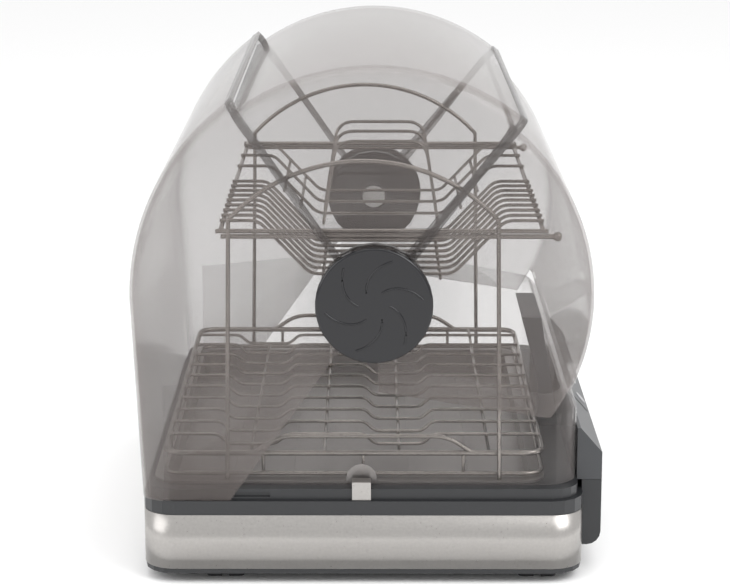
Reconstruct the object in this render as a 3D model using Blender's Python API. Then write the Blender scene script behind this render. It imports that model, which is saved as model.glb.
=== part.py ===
"""Dish sterilizer cabinet with three nested roll-back covers, in metres with +Z up.

The long axis runs along X and the console faces -Y. The origin is at the middle of the footprint, on
the surface that the feet stand on. Every size below is a real size and is written once.
Angles of the covers are in degrees, measured about the hub axis from the front (-Y) upwards.
"""
import math

import bmesh
import bpy
from mathutils import Matrix, Vector

MM = 0.001

X_AXIS = Vector((1, 0, 0))
Z_AXIS = Vector((0, 0, 1))
QUARTER_TURN = 90.0
HALF_TURN = 180.0

# Clearances shared by all pieces
SEAT_GAP = 0.3 * MM
RUN_GAP = 0.5 * MM
OVERRUN = 12.0 * MM
MERGE_DISTANCE = 0.001 * MM

# Facet counts
CORNER_STEPS = 4
FILLET_STEPS = 3
BORE_STEPS = 16
DISC_STEPS = 20
SMALL_STEPS = 8
WIRE_SIDES = 5
WIRE_START_SHARE = 0.25
WIRE_MITRE_SHARE = 0.5
BEND_STEPS = 2
BALL_STEPS = 2
LAST_COLUMN = 2 * FILLET_STEPS + 2
WALL_COLUMNS = 2
LIP_COLUMNS = 3

# Outline of the base
BASE_LENGTH = 502.0 * MM
BASE_DEPTH = 377.0 * MM
BASE_CORNER = 28.0 * MM
BASE_HALF = BASE_LENGTH / 2
BASE_REACH = BASE_DEPTH / 2

# Feet and the pan that they carry
FOOT_HEIGHT = 8.2 * MM
FOOT_LENGTH = 32.0 * MM
FOOT_WIDTH = 16.0 * MM
FOOT_SLOT = 6.6 * MM
FOOT_SLOT_DEPTH = 4.4 * MM
FOOT_INSET = 26.0 * MM
FOOT_FRONT_INSET = 38.5 * MM
FOOT_REAR_INSET = 69.5 * MM
PAN_THICKNESS = 4.2 * MM
PAN_INSET = 0.7 * MM
PAN_Z = FOOT_HEIGHT + SEAT_GAP
PAN_TOP = PAN_Z + PAN_THICKNESS
VENT_LENGTH = 46.0 * MM
VENT_WIDTH = 4.0 * MM
VENT_PITCH = 9.0 * MM
VENT_FROM_STAND = 6.0 * MM
VENT_COUNT = 4

# Screws under the pan
SCREW_HEAD = 3.6 * MM
SCREW_HEAD_HEIGHT = 1.8 * MM
SCREW_CROWN_SHARE = 0.7
SCREW_SHANK = 1.5 * MM
SCREW_LENGTH = 9.0 * MM
SCREW_BOSS = 4.5 * MM
SCREW_BOSS_HEIGHT = 9.0 * MM
SCREW_FROM_FOOT = 30.0 * MM

# Stainless skirt and the black rim on it
SKIRT_HEIGHT = 48.0 * MM
SKIRT_WALL = 1.0 * MM
SKIRT_Z = PAN_TOP + SEAT_GAP
SKIRT_TOP = SKIRT_Z + SKIRT_HEIGHT
RIM_Z = SKIRT_TOP + SEAT_GAP
LEDGE_HEIGHT = 12.2 * MM
LEDGE_WIDTH = 4.5 * MM
STEP_HEIGHT = 9.5 * MM
LEDGE_TOP = RIM_Z + LEDGE_HEIGHT
RIM_TOP = LEDGE_TOP + STEP_HEIGHT
RIM_SIDE_STRIP = 24.5 * MM
RIM_FRONT_STRIP = 38.5 * MM
RIM_REAR_STRIP = 16.5 * MM
CATCH_LENGTH = 30.5 * MM
CATCH_HEIGHT = 4.0 * MM
CATCH_DEPTH = 2.0 * MM
CATCH_Y = 94.5 * MM
RIM_OPENING_CORNER = 14.0 * MM

# Nested covers, from the outermost inwards
COVER_WALL = 2.5 * MM
COVER_END_GAP = 2.0 * MM
GUARD_END_GAP = 2.8 * MM
REAR_COVER_INSET = 1.0 * MM
REAR_RADIUS = 206.0 * MM
MIDDLE_GAP = 7.0 * MM
FRONT_GAP = 8.5 * MM
MIDDLE_RADIUS = REAR_RADIUS - COVER_WALL - MIDDLE_GAP
FRONT_RADIUS = MIDDLE_RADIUS - COVER_WALL - FRONT_GAP
REAR_HALF = BASE_HALF - REAR_COVER_INSET
MIDDLE_HALF = REAR_HALF - COVER_WALL - COVER_END_GAP
FRONT_HALF = MIDDLE_HALF - COVER_WALL - COVER_END_GAP
GUARD_HALF = FRONT_HALF - COVER_WALL - GUARD_END_GAP
REAR_FILLET = 28.0 * MM
MIDDLE_FILLET = 22.0 * MM
FRONT_FILLET = 20.0 * MM
HUB_HEIGHT = 246.0 * MM
HUB_Y = -9.1 * MM
REAR_EDGE_ANGLE = 124.8
REAR_CUT_ANGLE = 234.6
MIDDLE_FRONT_ANGLE = 50.0
MIDDLE_REAR_ANGLE = 127.3
FRONT_LIP_ANGLE = -26.0
FRONT_REAR_ANGLE = 52.5
FRONT_WING_ANGLE = -87.0
WING_HEIGHT_AT_HUB = 78.5 * MM
WING_SLOPE_SHARE = 0.158
COVER_STEP_ANGLE = 9.0
BAND_WIDTH = 6.5 * MM
BAND_RISE = 1.0 * MM
BAND_LEAD = 0.4 * MM
COVER_BOTTOM = LEDGE_TOP + SEAT_GAP

# Hub on each end
PIN_RADIUS = 11.5 * MM
PIN_BORE = PIN_RADIUS + RUN_GAP
EAR_RADIUS = 30.0 * MM
EAR_STEP = 0.6 * MM
EAR_INSET = 0.4 * MM
CAP_RADIUS = 49.0 * MM
CAP_HEIGHT = 10.7 * MM
CAP_EDGE = 2.2 * MM
CAP_DOME = 1.6 * MM
CAP_SOCKET = 6.0 * MM
CAP_DOME_SHARES = (0.86, 0.6, 0.3, 0.0)
SWIRL_COUNT = 6
SWIRL_WIDTH = 3.4 * MM
SWIRL_DEPTH = 1.6 * MM
SWIRL_INNER = 13.0 * MM
SWIRL_OUTER = 41.0 * MM
SWIRL_SWEEP = 52.0
SWIRL_STATIONS = 5
WASHER_RADIUS = 17.5 * MM
WASHER_WALL = 1.2 * MM
RETAINER_RADIUS = 47.0 * MM
RETAINER_HEIGHT = 8.0 * MM
RETAINER_RECESS = 3.0 * MM
RETAINER_RING = 5.0 * MM
LUG_COUNT = 6
LUG_RADIUS = 3.2 * MM
LUG_RISE = 1.4 * MM

# Clear guard that stands on the rim inside the front cover
GUARD_FRONT_INSET = 5.0 * MM
GUARD_CORNER = 30.0 * MM
GUARD_REAR_Y = 170.0 * MM
GUARD_WAIST_DROP = 100.0 * MM
GUARD_LIP_DROP = 83.0 * MM
GUARD_LIP_IN = 12.6 * MM
GUARD_REAR_DROP = 76.0 * MM
GUARD_CREST_DROP = 62.0 * MM
GUARD_TOWER_FOOT = 35.0 * MM
GUARD_TOWER_HEAD = 30.0 * MM
GUARD_Z = RIM_TOP + SEAT_GAP

# Lift-out drip tray
TRAY_SHEET = 2.2 * MM
TRAY_SIDE_GAP = 1.5 * MM
TRAY_FLANGE = 15.5 * MM
TRAY_WALL = 4.0 * MM
TRAY_FRONT_Y = -156.0 * MM
TRAY_REAR_Y = 180.0 * MM
TRAY_FRONT_FLANGE = 8.0 * MM
TRAY_REAR_FLANGE = 10.0 * MM
TRAY_DEPTH = 21.5 * MM
TRAY_CORNER = 20.0 * MM
TRAY_RIB_HEIGHT = 2.0 * MM
TRAY_RIB_WIDTH = 3.0 * MM
TRAY_RIB_COUNT = 5
TAB_WIDTH = 26.5 * MM
TAB_RISE = 15.0 * MM
TAB_SHEET = 2.0 * MM
TAB_SINK = 1.0 * MM
TAB_INSET = 0.3 * MM
TRAY_HALF = GUARD_HALF - COVER_WALL - TRAY_SIDE_GAP
TRAY_BODY_HALF = TRAY_HALF - TRAY_FLANGE
TRAY_Z = RIM_TOP + SEAT_GAP
TRAY_TOP = TRAY_Z + TRAY_SHEET

# Clips on the ledge at each end
CLIP_WIDTH = 16.0 * MM
CLIP_HEIGHT = 15.8 * MM
CLIP_SHEET = 2.2 * MM
CLIP_Y = 1.5 * MM

# Wires of both racks and of the arches
THIN_WIRE = 1.5 * MM
FRAME_WIRE = 2.0 * MM
RIM_WIRE = 2.5 * MM
WELD_SHARE = 0.72

# Lower rack
LOWER_HALF = 218.0 * MM
LOWER_FRONT_Y = -154.5 * MM
LOWER_REAR_Y = 171.0 * MM
LOWER_CORNER = 18.0 * MM
LOWER_RIM_RISE = 18.2 * MM
LOWER_CROSS_COUNT = 10
LOWER_CROSS_START = 171.0 * MM
LOWER_CROSS_PITCH = 39.3 * MM
DIP_DEPTH = 9.0 * MM
DIP_HALF = 30.0 * MM
DIP_SLOPE = 9.0 * MM
DIP_REAR_Y = 98.0 * MM
DIP_FRONT_Y = -31.0 * MM
LOWER_TIE_OVERHANG = 9.0 * MM
LOWER_SIDE_STRUT = 86.0 * MM
LOWER_LONG_STRUT = 148.0 * MM
HANDLE_FOOT = 94.0 * MM
HANDLE_TOP = 72.0 * MM
HANDLE_RISE = 15.0 * MM
HANDLE_BEND = 10.0 * MM

# Arches that carry the upper rack
ARCH_FOOT_Y = 116.5 * MM
ARCH_BEND_Y = 113.0 * MM
ARCH_BEND_RISE = 66.0 * MM
ARCH_TOP_RISE = 116.0 * MM
ARCH_STEPS = 7
ARCH_FROM_EDGE = 4.0 * MM
CROSSBAR_REAR_Y = 119.5 * MM
CROSSBAR_FRONT_Y = -162.5 * MM
CROSSBAR_ABOVE_HUB = 2.5 * MM
BALL_RADIUS = 4.0 * MM

# Upper rack
UPPER_REAR_Y = 119.0 * MM
UPPER_FRONT_Y = -150.0 * MM
UPPER_OVERHANG = 5.0 * MM
SHELF_FLAT = 30.0 * MM
TROUGH_HALF = 60.5 * MM
TROUGH_DEPTH = 46.0 * MM
TROUGH_TIE_SHARE = 0.82
SLOPE_WIRE_SHARES = (0.35, 0.7)
TROUGH_COUNT = 9
TROUGH_START = 205.0 * MM
TROUGH_PITCH = 23.0 * MM
CRADLE_COUNT = 3
CRADLE_START = 60.0 * MM
CRADLE_PITCH = 60.0 * MM
LOOP_START = 30.0 * MM
LOOP_HALF_TOP = 42.0 * MM
LOOP_HALF_FOOT = 54.0 * MM
LOOP_RISE = 77.0 * MM
LOOP_BEND = 14.0 * MM
UPPER_TIE_OVERHANG = 8.0 * MM

# Console on the front of the skirt
CONSOLE_HALF = 212.5 * MM
CONSOLE_REACH = 17.0 * MM
CONSOLE_LOWER_RISE = 9.0 * MM
CONSOLE_LOWER_HEIGHT = 59.0 * MM
CONSOLE_ROUND = 12.0 * MM
CONSOLE_FACE = 24.2 * MM
CONSOLE_SLOPE_RISE = 21.5 * MM
CONSOLE_TOP_DEPTH = 2.8 * MM
CONSOLE_WALL = 2.6 * MM
PANEL_HALF = 96.0 * MM
PANEL_WIDTH = 21.0 * MM
PANEL_SHEET = 1.0 * MM
PANEL_SINK = 0.6 * MM
BUTTON_RADIUS = 6.5 * MM
BUTTON_PROUD = 1.2 * MM
BUTTON_DOWN = 3.5 * MM
BUTTON_FLANGE = 1.2 * MM
BUTTON_FLANGE_WIDTH = 1.5 * MM
BUTTON_STEM_RADIUS = 1.5 * MM
BUTTON_STEM = 2.0 * MM
BUTTON_TRAVEL = 0.8 * MM
BUTTON_SPREAD = 70.0 * MM
BUTTON_LINE = -3.5 * MM
BUTTON_EDGE_SHARE = 0.6
BUTTON_CROWN_SHARE = 0.9
WINDOW_HALF = 24.0 * MM
WINDOW_WIDTH = 7.0 * MM
WINDOW_SHEET = 1.2 * MM
BOARD_SHEET = 1.6 * MM
BOARD_LOW = 13.5 * MM
BOARD_HIGH = 2.0 * MM
BOARD_HALF = 90.0 * MM
BOSS_RADIUS = 2.4 * MM
BOSS_FROM_END = 6.0 * MM
BOSS_SINK = 0.5 * MM
SWITCH_SIZE = 3.0 * MM
SWITCH_HEIGHT = 3.0 * MM

# Air duct, its louvres and its lamp
DUCT_HALF_FOOT = 56.0 * MM
DUCT_HALF_HEAD = 50.0 * MM
DUCT_HEIGHT = 101.7 * MM
DUCT_FOOT_DEPTH = 19.5 * MM
DUCT_HEAD_DEPTH = 18.0 * MM
DUCT_LEAN = 16.5 * MM
DUCT_KNEE = 45.0 * MM
DUCT_WALL = 2.0 * MM
DUCT_FRONT_GAP = 1.0 * MM
GRILLE_HALF = 42.0 * MM
GRILLE_HEIGHT = 44.0 * MM
GRILLE_FRAME = 3.5 * MM
LOUVRE_COUNT = 7
LOUVRE_SHARE = 0.5
LOUVRE_TILT_SHARE = 0.4
LAMP_RADIUS = 3.0 * MM
LAMP_END = 4.0 * MM
LAMP_ABOVE_KNEE = 22.0 * MM

# Blower, heater and elbow inside the base
SLOT_HALF = 46.0 * MM
SLOT_DEPTH = 11.0 * MM
ELBOW_HALF = 50.0 * MM
ELBOW_DEPTH = 46.0 * MM
ELBOW_HEIGHT = 27.0 * MM
ELBOW_WALL = 2.0 * MM
HEATER_DEPTH = 34.0 * MM
HEATER_SLOTS = 11
HEATER_SLOT_SHARE = 0.6
BLOWER_WALL = 2.0 * MM
BLOWER_INLET = 27.0 * MM
BLOWER_SPOUT = 14.0 * MM
BLOWER_STEPS = 12
MOTOR_RADIUS = 17.0 * MM
MOTOR_SHAFT = 2.5 * MM
IMPELLER_RADIUS = 38.0 * MM
IMPELLER_INNER = 27.0 * MM
IMPELLER_HEIGHT = 21.0 * MM
IMPELLER_PLATE = 2.0 * MM
IMPELLER_HUB = 8.0 * MM
BLADE_COUNT = 12
BLADE_SHEET = 1.4 * MM
BLADE_TURN = 35.0
STAND_RADIUS = 4.0 * MM

# Cord gland at the rear
GLAND_X = 150.0 * MM
GLAND_RISE = 16.0 * MM
GLAND_RADIUS = 5.0 * MM
GLAND_FLANGE = 8.0 * MM
GLAND_FLANGE_SHEET = 2.0 * MM
GLAND_OUT = 6.5 * MM
GLAND_IN = 8.0 * MM
GLAND_BORE = 2.8 * MM

# Places that follow from the sizes above
COVER_REAR_Y = HUB_Y + REAR_RADIUS
CONSOLE_FRONT_Y = -BASE_REACH - SEAT_GAP - CONSOLE_REACH
BASE_Y = -(CONSOLE_FRONT_Y + COVER_REAR_Y) / 2
CABINET = Vector((0, BASE_Y, 0))
SIDES = ((-1, "near"), (1, "far"))
TIE_OFFSET = (THIN_WIRE + THIN_WIRE) * WELD_SHARE
FRAME_OFFSET = (THIN_WIRE + FRAME_WIRE) * WELD_SHARE
RIM_OFFSET = (THIN_WIRE + RIM_WIRE) * WELD_SHARE
LOWER_FOOT_Z = TRAY_TOP + SEAT_GAP + FRAME_WIRE
LOWER_RIM_Z = LOWER_FOOT_Z + LOWER_RIM_RISE
LOWER_CROSS_Z = LOWER_RIM_Z + RIM_OFFSET
CROSSBAR_Z = HUB_HEIGHT + RETAINER_RADIUS + CROSSBAR_ABOVE_HUB + FRAME_WIRE
ARCH_X = TRAY_HALF - ARCH_FROM_EDGE
CROSSBAR_X = ARCH_X - 2 * FRAME_WIRE * WELD_SHARE
UPPER_END_X = ARCH_X - 2 * FRAME_WIRE - RUN_GAP
UPPER_RAIL_Z = CROSSBAR_Z + 2 * FRAME_WIRE + SEAT_GAP
UPPER_LONG_Z = UPPER_RAIL_Z + 2 * FRAME_WIRE * WELD_SHARE
UPPER_WIRE_Z = UPPER_LONG_Z + FRAME_OFFSET
CONSOLE_Z = SKIRT_Z + CONSOLE_LOWER_RISE
CONSOLE_UPPER_Z = CONSOLE_Z + CONSOLE_LOWER_HEIGHT + SEAT_GAP
CONSOLE_BACK_Y = -BASE_REACH + LEDGE_WIDTH - SEAT_GAP
SLOPE_FRONT = Vector((0, CONSOLE_FRONT_Y, CONSOLE_UPPER_Z + CONSOLE_FACE))
SLOPE_BACK = Vector((0, CONSOLE_BACK_Y - CONSOLE_TOP_DEPTH, SLOPE_FRONT.z + CONSOLE_SLOPE_RISE))
SLOPE_MIDDLE = (SLOPE_FRONT + SLOPE_BACK) / 2
SLOPE_TURN = math.atan2(SLOPE_BACK.z - SLOPE_FRONT.z, SLOPE_BACK.y - SLOPE_FRONT.y)
GUARD_FRONT_Y = -BASE_REACH + GUARD_FRONT_INSET
GUARD_WAIST_Z = HUB_HEIGHT - GUARD_WAIST_DROP
GUARD_LIP_Z = HUB_HEIGHT - GUARD_LIP_DROP
GUARD_REAR_Z = HUB_HEIGHT - GUARD_REAR_DROP
GUARD_CREST_Z = HUB_HEIGHT - GUARD_CREST_DROP
DUCT_Z = RIM_TOP + SEAT_GAP
DUCT_FRONT_Y = GUARD_FRONT_Y + COVER_WALL + DUCT_FRONT_GAP
DUCT_BACK_Y = DUCT_FRONT_Y + DUCT_FOOT_DEPTH
DUCT_HEAD_BACK_Y = DUCT_FRONT_Y + DUCT_LEAN + DUCT_HEAD_DEPTH
SLOT_Y = (DUCT_FRONT_Y + DUCT_BACK_Y) / 2
AIR_TOP = RIM_Z - SEAT_GAP
AIR_Z = AIR_TOP - ELBOW_HEIGHT
ELBOW_FRONT_Y = DUCT_FRONT_Y
ELBOW_REAR_Y = ELBOW_FRONT_Y + ELBOW_DEPTH
HEATER_FRONT_Y = ELBOW_REAR_Y + SEAT_GAP
HEATER_REAR_Y = HEATER_FRONT_Y + HEATER_DEPTH
SPOUT_Y = HEATER_REAR_Y + SEAT_GAP
BLOWER_Y = SPOUT_Y + BLOWER_SPOUT + ELBOW_HALF
HUB = Vector((0, HUB_Y, HUB_HEIGHT))
EAR_ROOT = (PIN_BORE + EAR_RADIUS) / 2
TROUGH_Y = (UPPER_REAR_Y + UPPER_FRONT_Y) / 2


# Materials, as (base colour, roughness, metallic, transmission)
FINISHES = {
    "smoky_clear": ((0.46, 0.42, 0.40), 0.06, 0.0, 0.85),
    "clear_guard": ((0.62, 0.60, 0.58), 0.05, 0.0, 0.9),
    "gloss_black": ((0.015, 0.015, 0.017), 0.12, 0.0, 0.0),
    "charcoal": ((0.035, 0.035, 0.038), 0.45, 0.0, 0.0),
    "console_grey": ((0.10, 0.10, 0.105), 0.40, 0.0, 0.0),
    "brushed_steel": ((0.62, 0.61, 0.59), 0.32, 1.0, 0.0),
    "chrome": ((0.80, 0.80, 0.80), 0.12, 1.0, 0.0),
    "dark_rubber": ((0.03, 0.03, 0.03), 0.75, 0.0, 0.0),
    "window_glass": ((0.05, 0.05, 0.06), 0.08, 0.0, 0.0),
    "button_grey": ((0.45, 0.45, 0.46), 0.35, 0.0, 0.0),
    "board_green": ((0.02, 0.16, 0.08), 0.50, 0.0, 0.0),
    "aluminium": ((0.75, 0.75, 0.74), 0.35, 1.0, 0.0),
    "lamp_glass": ((0.85, 0.88, 0.92), 0.05, 0.0, 0.6),
    "pin_steel": ((0.55, 0.55, 0.54), 0.30, 1.0, 0.0),
}


def finish_material(name, finish):
    """Return a Principled material of its own for one piece."""
    colour, roughness, metallic, transmission = FINISHES[finish]
    material = bpy.data.materials.new(name + "_" + finish)
    material.use_nodes = True
    shader = material.node_tree.nodes["Principled BSDF"]
    shader.inputs["Base Color"].default_value = (*colour, 1)
    shader.inputs["Roughness"].default_value = roughness
    shader.inputs["Metallic"].default_value = metallic
    shader.inputs["Transmission Weight"].default_value = transmission
    material.diffuse_color = (*colour, 1)
    return material


def place(bm, name, finish, origin=(0, 0, 0), turn=None):
    """Turn a bmesh into a named object; its mesh is already relative to origin."""
    bmesh.ops.recalc_face_normals(bm, faces=bm.faces)
    mesh = bpy.data.meshes.new(name)
    bm.to_mesh(mesh)
    bm.free()
    thing = bpy.data.objects.new(name, mesh)
    bpy.context.scene.collection.objects.link(thing)
    thing.data.materials.append(finish_material(name, finish))
    thing.location = CABINET + Vector(origin)
    if turn is not None:
        thing.rotation_euler = turn
    return thing


def helper(bm, name, like):
    """Turn a bmesh into a hidden shape, placed and turned like the piece that it cuts or joins."""
    bmesh.ops.recalc_face_normals(bm, faces=bm.faces)
    mesh = bpy.data.meshes.new(name)
    bm.to_mesh(mesh)
    bm.free()
    thing = bpy.data.objects.new(name, mesh)
    bpy.context.scene.collection.objects.link(thing)
    thing.location = like.location
    thing.rotation_euler = like.rotation_euler
    thing.hide_render = True
    thing.display_type = "WIRE"
    return thing


def combine(piece, bm, operation):
    """Join a shape to a piece, or cut it out of the piece, with an exact Boolean."""
    name = piece.name + "_" + operation.lower() + "_" + str(len(piece.modifiers))
    tool = helper(bm, name, piece)
    modifier = piece.modifiers.new(name, "BOOLEAN")
    modifier.operation = operation
    modifier.solver = "EXACT"
    modifier.object = tool


def join(piece, bm):
    """Fuse a shape to a piece."""
    combine(piece, bm, "UNION")


def cut(piece, bm):
    """Take a shape out of a piece."""
    combine(piece, bm, "DIFFERENCE")


def loft(loops, ring=False, bm=None):
    """Skin equal loops of points; cap both ends, or close the last loop to the first."""
    bm = bm or bmesh.new()
    rows = [[bm.verts.new(point) for point in loop] for loop in loops]
    count = len(rows[0])
    pairs = list(zip(rows, rows[1:]))
    if ring:
        pairs.append((rows[-1], rows[0]))
    for low, high in pairs:
        for index in range(count):
            after = (index + 1) % count
            bm.faces.new((low[index], low[after], high[after], high[index]))
    if not ring:
        bm.faces.new(rows[0])
        bm.faces.new(rows[-1])
    return bm


def prism_x(outline, low, high, bm=None):
    """Extrude a (y, z) outline along X."""
    return loft([[Vector((x, y, z)) for y, z in outline] for x in (low, high)], bm=bm)


def prism_y(outline, low, high, bm=None):
    """Extrude an (x, z) outline along Y."""
    return loft([[Vector((x, y, z)) for x, z in outline] for y in (low, high)], bm=bm)


def prism_z(outline, low, high, bm=None):
    """Extrude an (x, y) outline along Z."""
    return loft([[Vector((x, y, z)) for x, y in outline] for z in (low, high)], bm=bm)


def block(low, high, bm=None):
    """Return a box between two corners."""
    outline = [(low[0], low[1]), (high[0], low[1]), (high[0], high[1]), (low[0], high[1])]
    return prism_z(outline, low[2], high[2], bm=bm)


def circle(radius, steps, centre=(0, 0), start=0.0):
    """Return the points of a circle as pairs."""
    turns = [start + math.tau * step / steps for step in range(steps)]
    return [(centre[0] + radius * math.cos(t), centre[1] + radius * math.sin(t)) for t in turns]


def rounded(half, front, rear, radius, steps=CORNER_STEPS):
    """Return a rounded rectangle in plan as (x, y) pairs, symmetric about X = 0."""
    points = []
    corners = ((1, rear, 0), (-1, rear, 1), (-1, front, 2), (1, front, 3))
    for side, edge, quarter in corners:
        inward = -radius if edge == rear else radius
        for step in range(steps + 1):
            turn = math.pi / 2 * (quarter + step / steps)
            x = side * (half - radius) + radius * math.cos(turn)
            points.append((x, edge + inward + radius * math.sin(turn)))
    return points


def level(outline, z):
    """Lift (x, y) pairs to one height."""
    return [Vector((x, y, z)) for x, y in outline]


def revolve_x(profile, steps, side=1, bm=None):
    """Spin a closed (along, radius) profile about X; side -1 mirrors it to the near end."""
    bm = bm or bmesh.new()
    verts = [bm.verts.new((side * along, radius, 0)) for along, radius in profile]
    return spin_profile(bm, verts, Vector((1, 0, 0)), steps)


def revolve_z(profile, steps, bm=None):
    """Spin a closed (radius, height) profile about Z."""
    bm = bm or bmesh.new()
    verts = [bm.verts.new((radius, 0, height)) for radius, height in profile]
    return spin_profile(bm, verts, Vector((0, 0, 1)), steps)


def spin_profile(bm, verts, axis, steps):
    """Spin a closed chain of new vertices once round an axis through the origin."""
    edges = [bm.edges.new((a, b)) for a, b in zip(verts, verts[1:] + verts[:1])]
    apart = [edge for edge in edges if not on_axis(edge, axis)]
    bmesh.ops.delete(bm, geom=[edge for edge in edges if on_axis(edge, axis)], context="EDGES_FACES")
    alive = [vert for vert in verts if vert.is_valid]
    bmesh.ops.spin(
        bm, geom=alive + apart, cent=(0, 0, 0), axis=axis, angle=math.tau, steps=steps, use_merge=True
    )
    bmesh.ops.remove_doubles(bm, verts=bm.verts, dist=MERGE_DISTANCE)
    return bm


def on_axis(edge, axis):
    """Tell whether both ends of an edge lie on the spin axis."""
    return all(vert.co.cross(axis).length < MERGE_DISTANCE for vert in edge.verts)


def shift(bm, offset):
    """Move a whole bmesh."""
    bmesh.ops.translate(bm, verts=bm.verts, vec=Vector(offset))
    return bm


def soften(points, radius, steps=1, closed=False):
    """Replace each inner corner of a path with a short curve that starts radius before it."""
    result = []
    count = len(points)
    for index, corner in enumerate(points):
        if not closed and index in (0, count - 1):
            result.append(corner)
            continue
        before = points[index - 1]
        after = points[(index + 1) % count]
        reach_in = min(radius, (before - corner).length / 2)
        reach_out = min(radius, (after - corner).length / 2)
        start = corner + (before - corner).normalized() * reach_in
        end = corner + (after - corner).normalized() * reach_out
        for step in range(steps + 1):
            share = step / steps
            near = start.lerp(corner, share)
            far = corner.lerp(end, share)
            result.append(near.lerp(far, share))
    return result


def wire(bm, points, radius, normal, closed=False):
    """Add one closed tube along a path that lies in the plane of the normal."""
    rings = []
    count = len(points)
    for index, point in enumerate(points):
        before = points[index - 1] if closed or index else None
        after = points[(index + 1) % count] if closed or index < count - 1 else None
        arriving = (point - before).normalized() if before is not None else None
        leaving = (after - point).normalized() if after is not None else None
        arriving = arriving or leaving
        leaving = leaving or arriving
        along = (arriving + leaving).normalized()
        across = along.cross(normal).normalized()
        stretch = 1 / max(along.dot(arriving), WIRE_MITRE_SHARE)
        ring = []
        for side in range(WIRE_SIDES):
            turn = math.tau * (side + WIRE_START_SHARE) / WIRE_SIDES
            offset = across * (math.cos(turn) * stretch) + normal * math.sin(turn)
            ring.append(point + offset * radius)
        rings.append(ring)
    return loft(rings, ring=closed, bm=bm)


def shell(outer, inner, keep):
    """Skin two grids of points into one closed shell, over the cells that keep(row, column) names."""
    bm = bmesh.new()
    rows = len(outer)
    columns = len(outer[0])
    kept = {(r, c) for r in range(rows - 1) for c in range(columns - 1) if keep(r, c)}
    used = {(r + i, c + j) for r, c in kept for i in (0, 1) for j in (0, 1)}
    skins = [{key: bm.verts.new(grid[key[0]][key[1]]) for key in sorted(used)} for grid in (outer, inner)]
    for r, c in sorted(kept):
        ring = [(r, c), (r + 1, c), (r + 1, c + 1), (r, c + 1)]
        bm.faces.new([skins[0][key] for key in ring])
        bm.faces.new([skins[1][key] for key in reversed(ring)])
        neighbours = ((r, c - 1), (r + 1, c), (r, c + 1), (r - 1, c))
        for index, neighbour in enumerate(neighbours):
            if neighbour in kept:
                continue
            a = ring[index]
            b = ring[(index + 1) % 4]
            bm.faces.new((skins[0][a], skins[1][a], skins[1][b], skins[0][b]))
    return bm


def moved(bm, matrix):
    """Move and turn a whole bmesh by a matrix."""
    bmesh.ops.transform(bm, matrix=matrix, verts=bm.verts)
    return bm


def base_outline(inset, corner):
    """Return the plan of the base, drawn in by inset."""
    return rounded(BASE_HALF - inset, -BASE_REACH + inset, BASE_REACH - inset, corner)


def foot_places():
    """Return the middle of each foot in plan, front pair first."""
    x = BASE_HALF - FOOT_INSET
    front = -BASE_REACH + FOOT_FRONT_INSET
    rear = BASE_REACH - FOOT_REAR_INSET
    return [(-x, front), (x, front), (-x, rear), (x, rear)]


def build_feet():
    """Make four slotted feet and the screw beside each of them."""
    for number, (x, y) in enumerate(foot_places(), start=1):
        outline = rounded(FOOT_WIDTH / 2, -FOOT_LENGTH / 2, FOOT_LENGTH / 2, FOOT_WIDTH / 4, BEND_STEPS)
        foot = place(prism_z(outline, 0, FOOT_HEIGHT), f"foot_{number}", "dark_rubber", (x, y, 0))
        low = (-FOOT_WIDTH, -FOOT_SLOT / 2, -OVERRUN)
        cut(foot, block(low, (FOOT_WIDTH, FOOT_SLOT / 2, FOOT_SLOT_DEPTH)))
        screw_x = x - math.copysign(SCREW_FROM_FOOT, x)
        top = PAN_Z - SEAT_GAP
        profile = [
            (0, top - SCREW_HEAD_HEIGHT),
            (SCREW_HEAD * SCREW_CROWN_SHARE, top - SCREW_HEAD_HEIGHT),
            (SCREW_HEAD, top - SCREW_HEAD_HEIGHT / 2),
            (SCREW_HEAD, top),
            (SCREW_SHANK, top),
            (SCREW_SHANK, top + SCREW_LENGTH),
            (0, top + SCREW_LENGTH),
        ]
        screw = revolve_z(profile, SMALL_STEPS)
        place(screw, f"base_screw_{number}", "pin_steel", (screw_x, y, 0))


def build_pan():
    """Make the bottom pan with its bosses, intake slots and screw holes."""
    outline = base_outline(PAN_INSET, BASE_CORNER - PAN_INSET)
    pan = place(prism_z(outline, PAN_Z, PAN_TOP), "bottom_pan", "charcoal")
    bosses = bmesh.new()
    holes = bmesh.new()
    sink = PAN_THICKNESS / 2
    for x, y in foot_places():
        spot = (x - math.copysign(SCREW_FROM_FOOT, x), y)
        steps = SMALL_STEPS
        boss_top = PAN_TOP + SCREW_BOSS_HEIGHT
        prism_z(circle(SCREW_BOSS, steps, spot), PAN_TOP - sink, boss_top, bm=bosses)
        hole_top = PAN_Z + SCREW_LENGTH + RUN_GAP
        prism_z(circle(SCREW_SHANK + SEAT_GAP, steps, spot), PAN_Z - OVERRUN, hole_top, bm=holes)
    stand_x = ELBOW_HALF - 2 * STAND_RADIUS
    for x in (-stand_x, stand_x):
        for y in (SPOUT_Y + 2 * STAND_RADIUS, BLOWER_Y):
            stand = circle(STAND_RADIUS, SMALL_STEPS, (x, y))
            prism_z(stand, PAN_TOP - sink, AIR_Z - SEAT_GAP, bm=bosses)
    first = stand_x + STAND_RADIUS + VENT_FROM_STAND + VENT_WIDTH / 2
    for side, _ in SIDES:
        for index in range(VENT_COUNT):
            x = side * (first + VENT_PITCH * index)
            low = (x - VENT_WIDTH / 2, BLOWER_Y - VENT_LENGTH / 2, PAN_Z - OVERRUN)
            high = (x + VENT_WIDTH / 2, BLOWER_Y + VENT_LENGTH / 2, PAN_TOP + RUN_GAP)
            block(low, high, bm=holes)
    join(pan, bosses)
    cut(pan, holes)


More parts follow.
